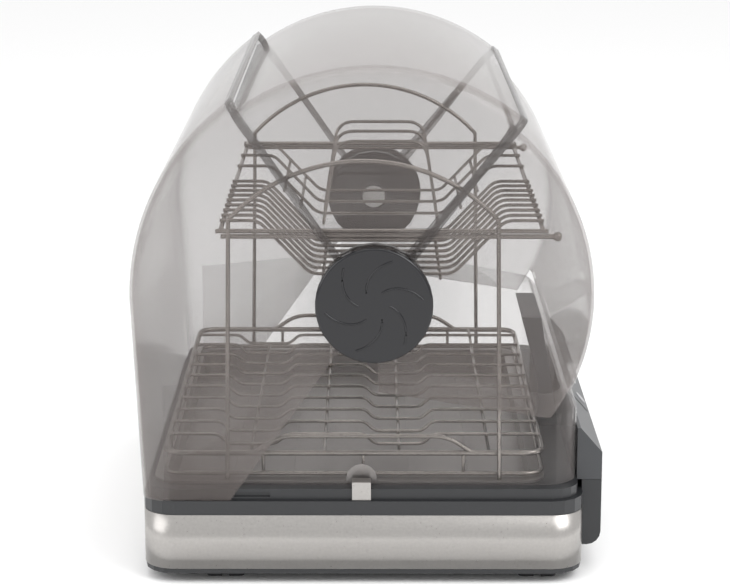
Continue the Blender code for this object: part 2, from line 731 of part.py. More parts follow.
def build_skirt():
    """Make the stainless skirt with the hole for the cord gland, and the gland."""
    outer = base_outline(0, BASE_CORNER)
    inner = base_outline(SKIRT_WALL, BASE_CORNER - SKIRT_WALL)
    loops = [level(outer, SKIRT_Z), level(outer, SKIRT_TOP), level(inner, SKIRT_TOP), level(inner, SKIRT_Z)]
    skirt = place(loft(loops, ring=True), "stainless_skirt", "brushed_steel")
    gland_z = SKIRT_Z + GLAND_RISE
    hole = circle(GLAND_RADIUS, BORE_STEPS, (GLAND_X, gland_z))
    cut(skirt, prism_y(hole, BASE_REACH - OVERRUN, BASE_REACH + OVERRUN))
    neck = GLAND_RADIUS - SEAT_GAP
    profile = [
        (GLAND_BORE, -GLAND_IN),
        (neck, -GLAND_IN),
        (neck, SEAT_GAP),
        (GLAND_FLANGE, SEAT_GAP),
        (GLAND_FLANGE, SEAT_GAP + GLAND_FLANGE_SHEET),
        (neck, SEAT_GAP + GLAND_FLANGE_SHEET),
        ((neck + GLAND_BORE) / 2, GLAND_OUT),
        (GLAND_BORE, GLAND_OUT),
    ]
    turn = (-math.pi / 2, 0, 0)
    gland = revolve_z(profile, BORE_STEPS)
    place(gland, "cord_gland", "dark_rubber", (GLAND_X, BASE_REACH, gland_z), turn)


def build_rim():
    """Make the moulded rim with its ledge, step, tray opening, catch slots and duct slot."""
    ledge = base_outline(0, BASE_CORNER)
    step = base_outline(LEDGE_WIDTH, BASE_CORNER - LEDGE_WIDTH)
    front = -BASE_REACH + RIM_FRONT_STRIP
    rear = BASE_REACH - RIM_REAR_STRIP
    opening = rounded(BASE_HALF - RIM_SIDE_STRIP, front, rear, RIM_OPENING_CORNER)
    loops = [
        level(ledge, RIM_Z),
        level(ledge, LEDGE_TOP),
        level(step, LEDGE_TOP),
        level(step, RIM_TOP),
        level(opening, RIM_TOP),
        level(opening, RIM_Z),
    ]
    rim = place(loft(loops, ring=True), "base_rim", "charcoal")
    middle = (LEDGE_TOP + RIM_TOP) / 2
    cuts = bmesh.new()
    face = BASE_HALF - LEDGE_WIDTH - CATCH_DEPTH
    for side, _ in SIDES:
        x_low, x_high = sorted((side * face, side * (BASE_HALF + OVERRUN)))
        low = (x_low, CATCH_Y - CATCH_LENGTH / 2, middle - CATCH_HEIGHT / 2)
        block(low, (x_high, CATCH_Y + CATCH_LENGTH / 2, middle + CATCH_HEIGHT / 2), bm=cuts)
    low = (-SLOT_HALF, SLOT_Y - SLOT_DEPTH / 2, RIM_Z - OVERRUN)
    block(low, (SLOT_HALF, SLOT_Y + SLOT_DEPTH / 2, RIM_TOP + OVERRUN), bm=cuts)
    cut(rim, cuts)


def build_tray():
    """Make the lift-out drip tray with its flange, floor ribs and finger tabs."""
    front = TRAY_FRONT_Y + TRAY_FRONT_FLANGE
    rear = TRAY_REAR_Y - TRAY_REAR_FLANGE
    floor = TRAY_Z - TRAY_DEPTH
    body = rounded(TRAY_BODY_HALF, front, rear, TRAY_CORNER)
    flange = rounded(TRAY_HALF, TRAY_FRONT_Y, TRAY_REAR_Y, TRAY_CORNER)
    inner_half = TRAY_BODY_HALF - TRAY_WALL
    inner_corner = TRAY_CORNER - TRAY_WALL
    inner = rounded(inner_half, front + TRAY_WALL, rear - TRAY_WALL, inner_corner)
    loops = [
        level(body, floor),
        level(body, TRAY_Z),
        level(flange, TRAY_Z),
        level(flange, TRAY_TOP),
        level(inner, TRAY_TOP),
        level(inner, floor + TRAY_SHEET),
    ]
    tray = place(loft(loops), "drip_tray", "brushed_steel")
    extras = bmesh.new()
    rib_half = inner_half - TRAY_CORNER
    pitch = (rear - front) / (TRAY_RIB_COUNT + 1)
    for index in range(TRAY_RIB_COUNT):
        y = front + pitch * (index + 1)
        low = (-rib_half, y - TRAY_RIB_WIDTH / 2, floor + TRAY_SHEET / 2)
        high = (rib_half, y + TRAY_RIB_WIDTH / 2, floor + TRAY_SHEET + TRAY_RIB_HEIGHT)
        block(low, high, bm=extras)
    tab = TAB_WIDTH / 2
    turns = [math.pi * step / (2 * CORNER_STEPS) for step in range(2 * CORNER_STEPS + 1)]
    head = TRAY_TOP + TAB_RISE - tab
    outline = [(CLIP_Y + tab * math.cos(turn), head + tab * math.sin(turn)) for turn in turns]
    outline += [(CLIP_Y - tab, TRAY_TOP - TAB_SINK), (CLIP_Y + tab, TRAY_TOP - TAB_SINK)]
    for side, _ in SIDES:
        edge = TRAY_HALF - TAB_INSET
        low, high = sorted((side * edge, side * (edge - TAB_SHEET)))
        prism_x(outline, low, high, bm=extras)
    join(tray, extras)


def build_clips():
    """Make the clip on the ledge at each end, which reaches over the rim to the guard."""
    low = LEDGE_TOP + SEAT_GAP
    high = low + CLIP_HEIGHT
    leg = BASE_HALF - LEDGE_WIDTH + SEAT_GAP
    arm = GUARD_HALF + RUN_GAP
    for side, word in SIDES:
        corners = [
            (leg, low),
            (leg + CLIP_SHEET, low),
            (leg + CLIP_SHEET, high),
            (arm, high),
            (arm, high - CLIP_SHEET),
            (leg, high - CLIP_SHEET),
        ]
        outline = [(side * x, z) for x, z in corners]
        clip = prism_y(outline, CLIP_Y - CLIP_WIDTH / 2, CLIP_Y + CLIP_WIDTH / 2)
        place(clip, word + "_guard_clip", "brushed_steel")


def slope_place(x=0.0, along=0.0):
    """Return a point on the console slope; along runs up the slope from its middle."""
    return (x, SLOPE_MIDDLE.y + along * math.cos(SLOPE_TURN), SLOPE_MIDDLE.z + along * math.sin(SLOPE_TURN))


def on_slope(bm, x=0.0, along=0.0):
    """Turn a shape made flat, with +Z as the slope's outward side, onto the console slope."""
    spot = Matrix.Translation(Vector(slope_place(x, along)))
    return moved(bm, spot @ Matrix.Rotation(SLOPE_TURN, 4, "X"))


def build_console():
    """Make the two console mouldings on the front of the skirt."""
    back = -BASE_REACH - SEAT_GAP
    top = CONSOLE_Z + CONSOLE_LOWER_HEIGHT
    turns = [math.pi + math.pi / 2 * step / CORNER_STEPS for step in range(CORNER_STEPS + 1)]
    outline = [(back, CONSOLE_Z), (back, top), (CONSOLE_FRONT_Y, top)]
    for turn in turns:
        y = CONSOLE_FRONT_Y + CONSOLE_ROUND + CONSOLE_ROUND * math.cos(turn)
        outline.append((y, CONSOLE_Z + CONSOLE_ROUND + CONSOLE_ROUND * math.sin(turn)))
    place(prism_x(outline, -CONSOLE_HALF, CONSOLE_HALF), "console_lower", "charcoal")
    outline = [
        (CONSOLE_BACK_Y, CONSOLE_UPPER_Z),
        (CONSOLE_FRONT_Y, CONSOLE_UPPER_Z),
        (SLOPE_FRONT.y, SLOPE_FRONT.z),
        (SLOPE_BACK.y, SLOPE_BACK.z),
        (CONSOLE_BACK_Y, SLOPE_BACK.z),
    ]
    upper = place(prism_x(outline, -CONSOLE_HALF, CONSOLE_HALF), "console_upper", "console_grey")
    inner_back = CONSOLE_BACK_Y - CONSOLE_WALL
    inner_front = CONSOLE_FRONT_Y + CONSOLE_WALL
    drop = CONSOLE_WALL / math.cos(SLOPE_TURN)
    climb = math.tan(SLOPE_TURN)
    bottom = CONSOLE_UPPER_Z - OVERRUN
    cavity = [
        (inner_back, bottom),
        (inner_front, bottom),
        (inner_front, SLOPE_FRONT.z - drop + (inner_front - SLOPE_FRONT.y) * climb),
        (inner_back, SLOPE_FRONT.z - drop + (inner_back - SLOPE_FRONT.y) * climb),
    ]
    inside = CONSOLE_HALF - CONSOLE_WALL
    cut(upper, prism_x(cavity, -inside, inside))
    bosses = bmesh.new()
    boss_y = (BOARD_HIGH - BOARD_LOW) / 2 - BOARD_HIGH
    deep = -(BUTTON_DOWN + BUTTON_FLANGE + BUTTON_STEM + BUTTON_TRAVEL + SEAT_GAP + SWITCH_HEIGHT)
    for side, _ in SIDES:
        spot = (side * (BOARD_HALF - BOSS_FROM_END), boss_y)
        shape = circle(BOSS_RADIUS, SMALL_STEPS, spot)
        prism_z(shape, deep + SEAT_GAP, BOSS_SINK - CONSOLE_WALL, bm=bosses)
    join(upper, on_slope(bosses))
    low = (-PANEL_HALF - SEAT_GAP, -PANEL_WIDTH / 2 - SEAT_GAP, -PANEL_SINK - SEAT_GAP)
    pocket = block(low, (PANEL_HALF + SEAT_GAP, PANEL_WIDTH / 2 + SEAT_GAP, OVERRUN))
    cut(upper, on_slope(pocket))
    bores = bmesh.new()
    for side, _ in SIDES:
        hole = circle(BUTTON_RADIUS + SEAT_GAP, BORE_STEPS, (side * BUTTON_SPREAD, BUTTON_LINE))
        prism_z(hole, -CONSOLE_WALL - RUN_GAP, OVERRUN, bm=bores)
    cut(upper, on_slope(bores))
    build_controls(deep, boss_y)


def build_controls(deep, boss_y):
    """Make the panel, window, buttons and board of the console."""
    turn = (SLOPE_TURN, 0, 0)
    low = (-PANEL_HALF, -PANEL_WIDTH / 2, -PANEL_SINK)
    sheet = block(low, (PANEL_HALF, PANEL_WIDTH / 2, PANEL_SHEET - PANEL_SINK))
    panel = place(sheet, "control_panel", "console_grey", slope_place(), turn)
    holes = bmesh.new()
    for side, _ in SIDES:
        hole = circle(BUTTON_RADIUS + SEAT_GAP, BORE_STEPS, (side * BUTTON_SPREAD, BUTTON_LINE))
        prism_z(hole, -OVERRUN, OVERRUN, bm=holes)
    edge = (WINDOW_HALF + SEAT_GAP, WINDOW_WIDTH / 2 + SEAT_GAP)
    block((-edge[0], -edge[1], -OVERRUN), (edge[0], edge[1], OVERRUN), bm=holes)
    cut(panel, holes)
    low = (-WINDOW_HALF, -WINDOW_WIDTH / 2, -PANEL_SINK)
    window = block(low, (WINDOW_HALF, WINDOW_WIDTH / 2, WINDOW_SHEET - PANEL_SINK))
    place(window, "indicator_window", "window_glass", slope_place(), turn)
    flange = -BUTTON_DOWN
    stem = flange - BUTTON_FLANGE
    profile = [
        (0, stem - BUTTON_STEM),
        (BUTTON_STEM_RADIUS, stem - BUTTON_STEM),
        (BUTTON_STEM_RADIUS, stem),
        (BUTTON_RADIUS + BUTTON_FLANGE_WIDTH, stem),
        (BUTTON_RADIUS + BUTTON_FLANGE_WIDTH, flange),
        (BUTTON_RADIUS, flange),
        (BUTTON_RADIUS, BUTTON_PROUD * BUTTON_EDGE_SHARE),
        (BUTTON_RADIUS * BUTTON_CROWN_SHARE, BUTTON_PROUD),
        (0, BUTTON_PROUD * BUTTON_CROWN_SHARE),
    ]
    for side, name in ((-1, "power_button"), (1, "timer_button")):
        spot = slope_place(side * BUTTON_SPREAD, BUTTON_LINE)
        place(revolve_z(profile, BORE_STEPS), name, "button_grey", spot, turn)
    sheet = block((-BOARD_HALF, -BOARD_LOW, deep - BOARD_SHEET), (BOARD_HALF, -BOARD_HIGH, deep))
    board = place(sheet, "control_board", "board_green", slope_place(), turn)
    switches = bmesh.new()
    half = SWITCH_SIZE / 2
    for side, _ in SIDES:
        x = side * BUTTON_SPREAD
        low = (x - half, BUTTON_LINE - half, deep - BOARD_SHEET / 2)
        block(low, (x + half, BUTTON_LINE + half, deep + SWITCH_HEIGHT), bm=switches)
    join(board, switches)


def duct_section(rise, inset):
    """Return the rectangle of the duct at a rise above its foot, drawn in by inset."""
    share = min(max(rise, 0) / DUCT_HEIGHT, 1)
    half = DUCT_HALF_FOOT + (DUCT_HALF_HEAD - DUCT_HALF_FOOT) * share - inset
    front = DUCT_FRONT_Y + DUCT_LEAN * share + inset
    above = max(rise - DUCT_KNEE, 0) / (DUCT_HEIGHT - DUCT_KNEE)
    back = DUCT_BACK_Y + (DUCT_HEAD_BACK_Y - DUCT_BACK_Y) * above - inset
    corners = [(-half, front), (half, front), (half, back), (-half, back)]
    return level(corners, DUCT_Z + rise)


def build_duct():
    """Make the leaning air duct, the louvred grille in its back and the lamp inside it."""
    rises = (0, DUCT_KNEE, DUCT_HEIGHT)
    duct = place(loft([duct_section(rise, 0) for rise in rises]), "air_duct", "charcoal")
    rises = (-OVERRUN, DUCT_KNEE, DUCT_HEIGHT - DUCT_WALL)
    cut(duct, loft([duct_section(rise, DUCT_WALL) for rise in rises]))
    knee = Vector((0, DUCT_BACK_Y, DUCT_Z + DUCT_KNEE))
    head = Vector((0, DUCT_HEAD_BACK_Y, DUCT_Z + DUCT_HEIGHT))
    lean = math.atan2(head.y - knee.y, head.z - knee.z)
    middle = (knee + head) / 2
    face = Matrix.Translation(middle) @ Matrix.Rotation(-lean, 4, "X")
    tall = GRILLE_HEIGHT / 2
    low = (-GRILLE_HALF - SEAT_GAP, -2 * DUCT_WALL, -tall - SEAT_GAP)
    window = block(low, (GRILLE_HALF + SEAT_GAP, OVERRUN, tall + SEAT_GAP))
    cut(duct, moved(window, face))
    plate = block((-GRILLE_HALF, -DUCT_WALL, -tall), (GRILLE_HALF, 0, tall))
    grille = place(plate, "duct_grille", "console_grey", middle, (-lean, 0, 0))
    pitch = (GRILLE_HEIGHT - 2 * GRILLE_FRAME) / LOUVRE_COUNT
    slots = bmesh.new()
    reach = 2 * DUCT_WALL
    for index in range(LOUVRE_COUNT):
        low_z = -tall + GRILLE_FRAME + pitch * (index + (1 - LOUVRE_SHARE) / 2)
        high_z = low_z + pitch * LOUVRE_SHARE
        rise = reach * LOUVRE_TILT_SHARE
        outline = [(-reach, low_z + rise), (reach, low_z - rise), (reach, high_z - rise)]
        outline.append((-reach, high_z + rise))
        width = GRILLE_HALF - GRILLE_FRAME
        prism_x(outline, -width, -GRILLE_FRAME / 2, bm=slots)
        prism_x(outline, GRILLE_FRAME / 2, width, bm=slots)
    cut(grille, slots)
    corners = duct_section(DUCT_KNEE + LAMP_ABOVE_KNEE, DUCT_WALL)
    half = corners[1].x - SEAT_GAP
    lamp_y = (corners[0].y + corners[2].y) / 2
    tube = half - 2 * LAMP_END
    profile = [
        (-half, 0),
        (-half, LAMP_END),
        (-tube, LAMP_END),
        (-tube, LAMP_RADIUS),
        (tube, LAMP_RADIUS),
        (tube, LAMP_END),
        (half, LAMP_END),
        (half, 0),
    ]
    lamp = revolve_x(profile, SMALL_STEPS)
    place(lamp, "sterilizer_lamp", "lamp_glass", (0, lamp_y, corners[0].z))


def build_air_path():
    """Make the elbow under the duct, the heater behind it, and the blower behind that."""
    low = (-ELBOW_HALF, ELBOW_FRONT_Y, AIR_Z)
    elbow = place(block(low, (ELBOW_HALF, ELBOW_REAR_Y, AIR_TOP)), "air_elbow", "charcoal")
    inside = ELBOW_HALF - ELBOW_WALL
    channel = block(
        (-inside, ELBOW_FRONT_Y + ELBOW_WALL, AIR_Z + ELBOW_WALL),
        (inside, ELBOW_REAR_Y + OVERRUN, AIR_TOP - ELBOW_WALL),
    )
    cut(elbow, channel)
    low = (-SLOT_HALF, SLOT_Y - SLOT_DEPTH / 2, AIR_TOP - 2 * ELBOW_WALL)
    cut(elbow, block(low, (SLOT_HALF, SLOT_Y + SLOT_DEPTH / 2, AIR_TOP + OVERRUN)))
    low = (-ELBOW_HALF, HEATER_FRONT_Y, AIR_Z)
    heater = place(block(low, (ELBOW_HALF, HEATER_REAR_Y, AIR_TOP)), "heater_block", "aluminium")
    pitch = 2 * inside / HEATER_SLOTS
    slots = bmesh.new()
    for index in range(HEATER_SLOTS):
        x = -inside + pitch * (index + (1 - HEATER_SLOT_SHARE) / 2)
        low = (x, HEATER_FRONT_Y - OVERRUN, AIR_Z + ELBOW_WALL)
        high = (x + pitch * HEATER_SLOT_SHARE, HEATER_REAR_Y + OVERRUN, AIR_TOP - ELBOW_WALL)
        block(low, high, bm=slots)
    cut(heater, slots)
    build_blower()


def blower_outline(inset, spout):
    """Return the plan of the blower: a round back with straight sides up to the spout."""
    radius = ELBOW_HALF - inset
    turns = [math.pi * step / BLOWER_STEPS for step in range(BLOWER_STEPS + 1)]
    points = [(radius * math.cos(turn), BLOWER_Y + radius * math.sin(turn)) for turn in turns]
    return points + [(-radius, spout), (radius, spout)]


def build_blower():
    """Make the blower housing with its inlet below, the motor under it and the impeller."""
    housing = place(prism_z(blower_outline(0, SPOUT_Y), AIR_Z, AIR_TOP), "fan_housing", "charcoal")
    hollow = blower_outline(BLOWER_WALL, SPOUT_Y - OVERRUN)
    cut(housing, prism_z(hollow, AIR_Z + BLOWER_WALL, AIR_TOP - BLOWER_WALL))
    inlet = circle(BLOWER_INLET, BORE_STEPS, (0, BLOWER_Y))
    cut(housing, prism_z(inlet, AIR_Z - OVERRUN, AIR_Z + 2 * BLOWER_WALL))
    centre = (0, BLOWER_Y, 0)
    plate_top = AIR_TOP - BLOWER_WALL - 2 * RUN_GAP
    plate_low = plate_top - IMPELLER_PLATE
    blade_low = plate_top - IMPELLER_HEIGHT
    shaft_top = plate_top
    motor_top = AIR_Z - RUN_GAP
    profile = [
        (0, PAN_TOP + SEAT_GAP),
        (MOTOR_RADIUS, PAN_TOP + SEAT_GAP),
        (MOTOR_RADIUS, motor_top),
        (MOTOR_SHAFT, motor_top),
        (MOTOR_SHAFT, shaft_top),
        (0, shaft_top),
    ]
    place(revolve_z(profile, BORE_STEPS), "fan_motor", "brushed_steel", centre)
    bore = MOTOR_SHAFT + SEAT_GAP
    profile = [
        (bore, blade_low),
        (IMPELLER_HUB, blade_low),
        (IMPELLER_HUB, plate_low),
        (IMPELLER_RADIUS, plate_low),
        (IMPELLER_RADIUS, plate_top),
        (bore, plate_top),
    ]
    impeller = place(revolve_z(profile, BORE_STEPS), "fan_impeller", "charcoal", centre)
    blades = bmesh.new()
    for index in range(BLADE_COUNT):
        turn = math.tau * index / BLADE_COUNT
        root = Vector((math.cos(turn), math.sin(turn))) * IMPELLER_INNER
        lean = turn + math.radians(BLADE_TURN)
        along = Vector((math.cos(lean), math.sin(lean)))
        side = Vector((-along.y, along.x)) * (BLADE_SHEET / 2)
        tip = root + along * (IMPELLER_RADIUS - IMPELLER_INNER)
        outline = [root - side, tip - side, tip + side, root + side]
        prism_z([tuple(point) for point in outline], blade_low, plate_low + IMPELLER_PLATE / 2, bm=blades)
    join(impeller, blades)


def bar_x(bm, low, high, y, z, radius):
    """Add a straight wire along X."""
    return wire(bm, [Vector((low, y, z)), Vector((high, y, z))], radius, Z_AXIS)


def bar_y(bm, x, low, high, z, radius):
    """Add a straight wire along Y."""
    return wire(bm, [Vector((x, low, z)), Vector((x, high, z))], radius, X_AXIS)


def profile_wire(bm, x, pairs, radius, bend=0, steps=0):
    """Add a wire bent along (y, z) pairs at one X, with its corners rounded where steps asks."""
    points = [Vector((x, y, z)) for y, z in pairs]
    if steps:
        points = soften(points, bend, steps)
    return wire(bm, points, radius, X_AXIS)


def build_lower_rack():
    """Make the lower rack: two rims with struts, dipped cross wires, ties and end handles."""
    origin = (0, 0, LOWER_FOOT_Z)
    outline = rounded(LOWER_HALF, LOWER_FRONT_Y, LOWER_REAR_Y, LOWER_CORNER, BEND_STEPS)
    rims = bmesh.new()
    wire(rims, level(outline, 0), FRAME_WIRE, Z_AXIS, closed=True)
    rim = LOWER_RIM_Z - LOWER_FOOT_Z
    wire(rims, level(outline, rim), RIM_WIRE, Z_AXIS, closed=True)
    rack = place(rims, "lower_rack", "chrome", origin)
    cross = LOWER_CROSS_Z - LOWER_FOOT_Z
    pairs = [(LOWER_REAR_Y, cross)]
    for middle in (DIP_REAR_Y, DIP_FRONT_Y):
        pairs.append((middle + DIP_HALF, cross))
        pairs.append((middle + DIP_HALF - DIP_SLOPE, cross - DIP_DEPTH))
        pairs.append((middle - DIP_HALF + DIP_SLOPE, cross - DIP_DEPTH))
        pairs.append((middle - DIP_HALF, cross))
    pairs.append((LOWER_FRONT_Y, cross))
    across = bmesh.new()
    for index in range(LOWER_CROSS_COUNT):
        x = -LOWER_CROSS_START + LOWER_CROSS_PITCH * index
        profile_wire(across, x, pairs, THIN_WIRE)
    for x in (-LOWER_LONG_STRUT, 0, LOWER_LONG_STRUT):
        for y in (LOWER_FRONT_Y, LOWER_REAR_Y):
            wire(across, [Vector((x, y, 0)), Vector((x, y, rim))], THIN_WIRE, X_AXIS)
    for side, _ in SIDES:
        for y in (-LOWER_SIDE_STRUT, 0, LOWER_SIDE_STRUT):
            x = side * LOWER_HALF
            wire(across, [Vector((x, y, 0)), Vector((x, y, rim))], THIN_WIRE, X_AXIS)
    join(rack, across)
    lengthwise = bmesh.new()
    crest = (DIP_REAR_Y + DIP_FRONT_Y) / 2
    apron = (DIP_FRONT_Y - DIP_HALF + LOWER_FRONT_Y) / 2
    for y in (crest, apron):
        bar_x(lengthwise, -LOWER_HALF, LOWER_HALF, y, cross - TIE_OFFSET, THIN_WIRE)
    first = -LOWER_CROSS_START - LOWER_TIE_OVERHANG
    last = -LOWER_CROSS_START + LOWER_CROSS_PITCH * (LOWER_CROSS_COUNT - 1) + LOWER_TIE_OVERHANG
    for y in (DIP_REAR_Y, DIP_FRONT_Y):
        bar_x(lengthwise, first, last, y, cross - DIP_DEPTH - TIE_OFFSET, THIN_WIRE)
    pairs = [(HANDLE_FOOT, rim), (HANDLE_TOP, rim + HANDLE_RISE)]
    pairs += [(-y, z) for y, z in reversed(pairs)]
    for side, _ in SIDES:
        profile_wire(lengthwise, side * LOWER_HALF, pairs, FRAME_WIRE, HANDLE_BEND, BEND_STEPS)
    join(rack, lengthwise)


def build_arches():
    """Make the arch at each end with the crossbar that the upper rack rests on."""
    bend = HUB_HEIGHT + ARCH_BEND_RISE
    crown = HUB_HEIGHT + ARCH_TOP_RISE
    rise = crown - bend
    radius = (ARCH_BEND_Y**2 + rise**2) / (2 * rise)
    spread = math.asin(ARCH_BEND_Y / radius)
    foot = TRAY_TOP + SEAT_GAP
    for side, word in SIDES:
        x = side * ARCH_X
        points = [Vector((x, ARCH_FOOT_Y, foot))]
        for step in range(ARCH_STEPS + 1):
            turn = spread - 2 * spread * step / ARCH_STEPS
            points.append(Vector((x, radius * math.sin(turn), crown - radius + radius * math.cos(turn))))
        points.append(Vector((x, -ARCH_FOOT_Y, foot)))
        arch = place(wire(bmesh.new(), points, FRAME_WIRE, X_AXIS), word + "_arch", "chrome")
        bar = side * CROSSBAR_X
        join(arch, bar_y(bmesh.new(), bar, CROSSBAR_FRONT_Y, CROSSBAR_REAR_Y, CROSSBAR_Z, FRAME_WIRE))
        ball = bmesh.new()
        bmesh.ops.create_icosphere(ball, subdivisions=BALL_STEPS, radius=BALL_RADIUS)
        join(arch, shift(ball, (bar, CROSSBAR_FRONT_Y, CROSSBAR_Z)))


def trough_pairs(z):
    """Return the bent line of one trough wire of the upper rack, from the rear to the front."""
    shelf_rear = UPPER_REAR_Y - SHELF_FLAT
    shelf_front = UPPER_FRONT_Y + SHELF_FLAT
    return [
        (UPPER_REAR_Y + UPPER_OVERHANG / 2, z),
        (shelf_rear, z),
        (TROUGH_Y + TROUGH_HALF, z - TROUGH_DEPTH),
        (TROUGH_Y - TROUGH_HALF, z - TROUGH_DEPTH),
        (shelf_front, z),
        (UPPER_FRONT_Y - UPPER_OVERHANG / 2, z),
    ]


def build_upper_rack():
    """Make the upper rack: long rails and ties, trough wires, end rails, and tall loops."""
    origin = (0, 0, UPPER_RAIL_Z)
    long_z = UPPER_LONG_Z - UPPER_RAIL_Z
    wire_z = UPPER_WIRE_Z - UPPER_RAIL_Z
    tie_z = wire_z - TROUGH_DEPTH - TIE_OFFSET
    trough_last = -TROUGH_START + TROUGH_PITCH * (TROUGH_COUNT - 1)
    cradle_last = CRADLE_START + CRADLE_PITCH * (CRADLE_COUNT - 1)
    near_span = (-TROUGH_START - UPPER_TIE_OVERHANG, trough_last + UPPER_TIE_OVERHANG)
    far_span = (LOOP_START - UPPER_TIE_OVERHANG, cradle_last + UPPER_TIE_OVERHANG)
    rails = bmesh.new()
    reach = UPPER_END_X + FRAME_WIRE / 2
    for y in (UPPER_REAR_Y, UPPER_FRONT_Y):
        bar_x(rails, -reach, reach, y, long_z, FRAME_WIRE)
    spread = TROUGH_HALF * TROUGH_TIE_SHARE
    for y in (TROUGH_Y - spread, TROUGH_Y + spread):
        bar_x(rails, near_span[0], near_span[1], y, tie_z, THIN_WIRE)
    for y in (TROUGH_Y - LOOP_HALF_FOOT, TROUGH_Y + LOOP_HALF_FOOT):
        bar_x(rails, far_span[0], far_span[1], y, tie_z, THIN_WIRE)
    rack = place(rails, "upper_rack", "chrome", origin)
    troughs = bmesh.new()
    spots = [-TROUGH_START + TROUGH_PITCH * index for index in range(TROUGH_COUNT)]
    spots += [CRADLE_START + CRADLE_PITCH * index for index in range(CRADLE_COUNT)]
    for x in spots:
        profile_wire(troughs, x, trough_pairs(wire_z), THIN_WIRE)
    for side, _ in SIDES:
        low = UPPER_FRONT_Y - UPPER_OVERHANG
        bar_y(troughs, side * UPPER_END_X, low, UPPER_REAR_Y + UPPER_OVERHANG, 0, FRAME_WIRE)
    join(rack, troughs)
    loops = bmesh.new()
    foot = (LOOP_HALF_FOOT, tie_z)
    top = (LOOP_HALF_TOP, tie_z + LOOP_RISE)
    pairs = [(TROUGH_Y + foot[0], foot[1]), (TROUGH_Y + top[0], top[1])]
    pairs += [(TROUGH_Y - top[0], top[1]), (TROUGH_Y - foot[0], foot[1])]
    for index in range(CRADLE_COUNT):
        profile_wire(loops, LOOP_START + CRADLE_PITCH * index, pairs, THIN_WIRE, LOOP_BEND, BEND_STEPS)
    join(rack, loops)
    slopes = bmesh.new()
    shelf = UPPER_REAR_Y - SHELF_FLAT
    run = shelf - TROUGH_Y - TROUGH_HALF
    slant = Vector((run, TROUGH_DEPTH)).normalized()
    for share in SLOPE_WIRE_SHARES:
        y = shelf - TROUGH_Y - run * share + TIE_OFFSET * slant.y
        z = wire_z - TROUGH_DEPTH * share - TIE_OFFSET * slant.x
        for sign in (-1, 1):
            bar_x(slopes, far_span[0], far_span[1], TROUGH_Y + sign * y, z, THIN_WIRE)
    join(rack, slopes)


def cover_profile(half, root, reach, fillet):
    """Return (x, radius) points of a cover's section, from the near wall over to the far wall."""
    turns = [math.pi / 2 * step / FILLET_STEPS for step in range(FILLET_STEPS + 1)]
    far = [(half - fillet + fillet * math.cos(t), reach - fillet + fillet * math.sin(t)) for t in turns]
    far = [(half, root)] + far
    return [(-x, radius) for x, radius in far] + list(reversed(far))


def cover_grid(stations, half, fillet, grow):
    """Place the section at each station (centre, direction, root, reach), grown by grow."""
    grid = []
    for centre, direction, root, reach in stations:
        section = cover_profile(half + grow, root, reach + grow, fillet + grow)
        grid.append([centre + direction * radius + X_AXIS * x for x, radius in section])
    return grid


def heading(angle):
    """Return the direction of an angle in degrees, from the front upwards."""
    turn = math.radians(angle)
    return Vector((0, -math.cos(turn), math.sin(turn)))


def sweep(first, last, radius):
    """Return the stations between two angles on a cover of one radius."""
    count = max(1, math.ceil((last - first) / COVER_STEP_ANGLE))
    angles = [first + (last - first) * step / count for step in range(count + 1)]
    return [(Vector(), heading(angle), EAR_ROOT, radius) for angle in angles]


def parallel_station(angle, offset, radius):
    """Return a station beside the radial edge at an angle, offset towards greater angles."""
    side = heading(angle + QUARTER_TURN)
    root = EAR_ROOT + BAND_LEAD
    return (side * offset, heading(angle), root, math.sqrt(radius**2 - offset**2))


def band_between(stations, half, fillet, columns):
    """Return a raised band over two or more stations."""
    outer = cover_grid(stations, half, fillet, BAND_RISE)
    inner = cover_grid(stations, half, fillet, -COVER_WALL / 2)
    return shell(outer, inner, lambda row, column: columns[0] <= column <= columns[1])


def add_ears(cover, half):
    """Fuse the pivot ring at each end of a cover."""
    low = half - COVER_WALL - EAR_STEP
    high = half - EAR_INSET
    profile = [(low, PIN_BORE), (high, PIN_BORE), (high, EAR_RADIUS), (low, EAR_RADIUS)]
    ears = bmesh.new()
    for side, _ in SIDES:
        revolve_x(profile, BORE_STEPS, side, bm=ears)
    join(cover, ears)


def build_cover(name, stations, half, fillet, keep):
    """Make one cover shell about the hub axis."""
    outer = cover_grid(stations, half, fillet, 0)
    inner = cover_grid(stations, half, fillet, -COVER_WALL)
    return place(shell(outer, inner, keep), name, "smoky_clear", HUB)


def everywhere(row, column):
    """Keep every cell of a grid."""
    return True


def rear_station(drop, inset=0):
    """Return the station of the rear cover at a drop below the hub, where its wall is straight."""
    full = HUB_HEIGHT - COVER_BOTTOM
    reach = REAR_RADIUS + (BASE_REACH - HUB_Y - REAR_RADIUS) * drop / full
    root = max(EAR_ROOT, drop / math.tan(math.radians(REAR_CUT_ANGLE - HALF_TURN))) + inset
    return (Vector((0, 0, -drop)), Vector((0, 1, 0)), root, reach)


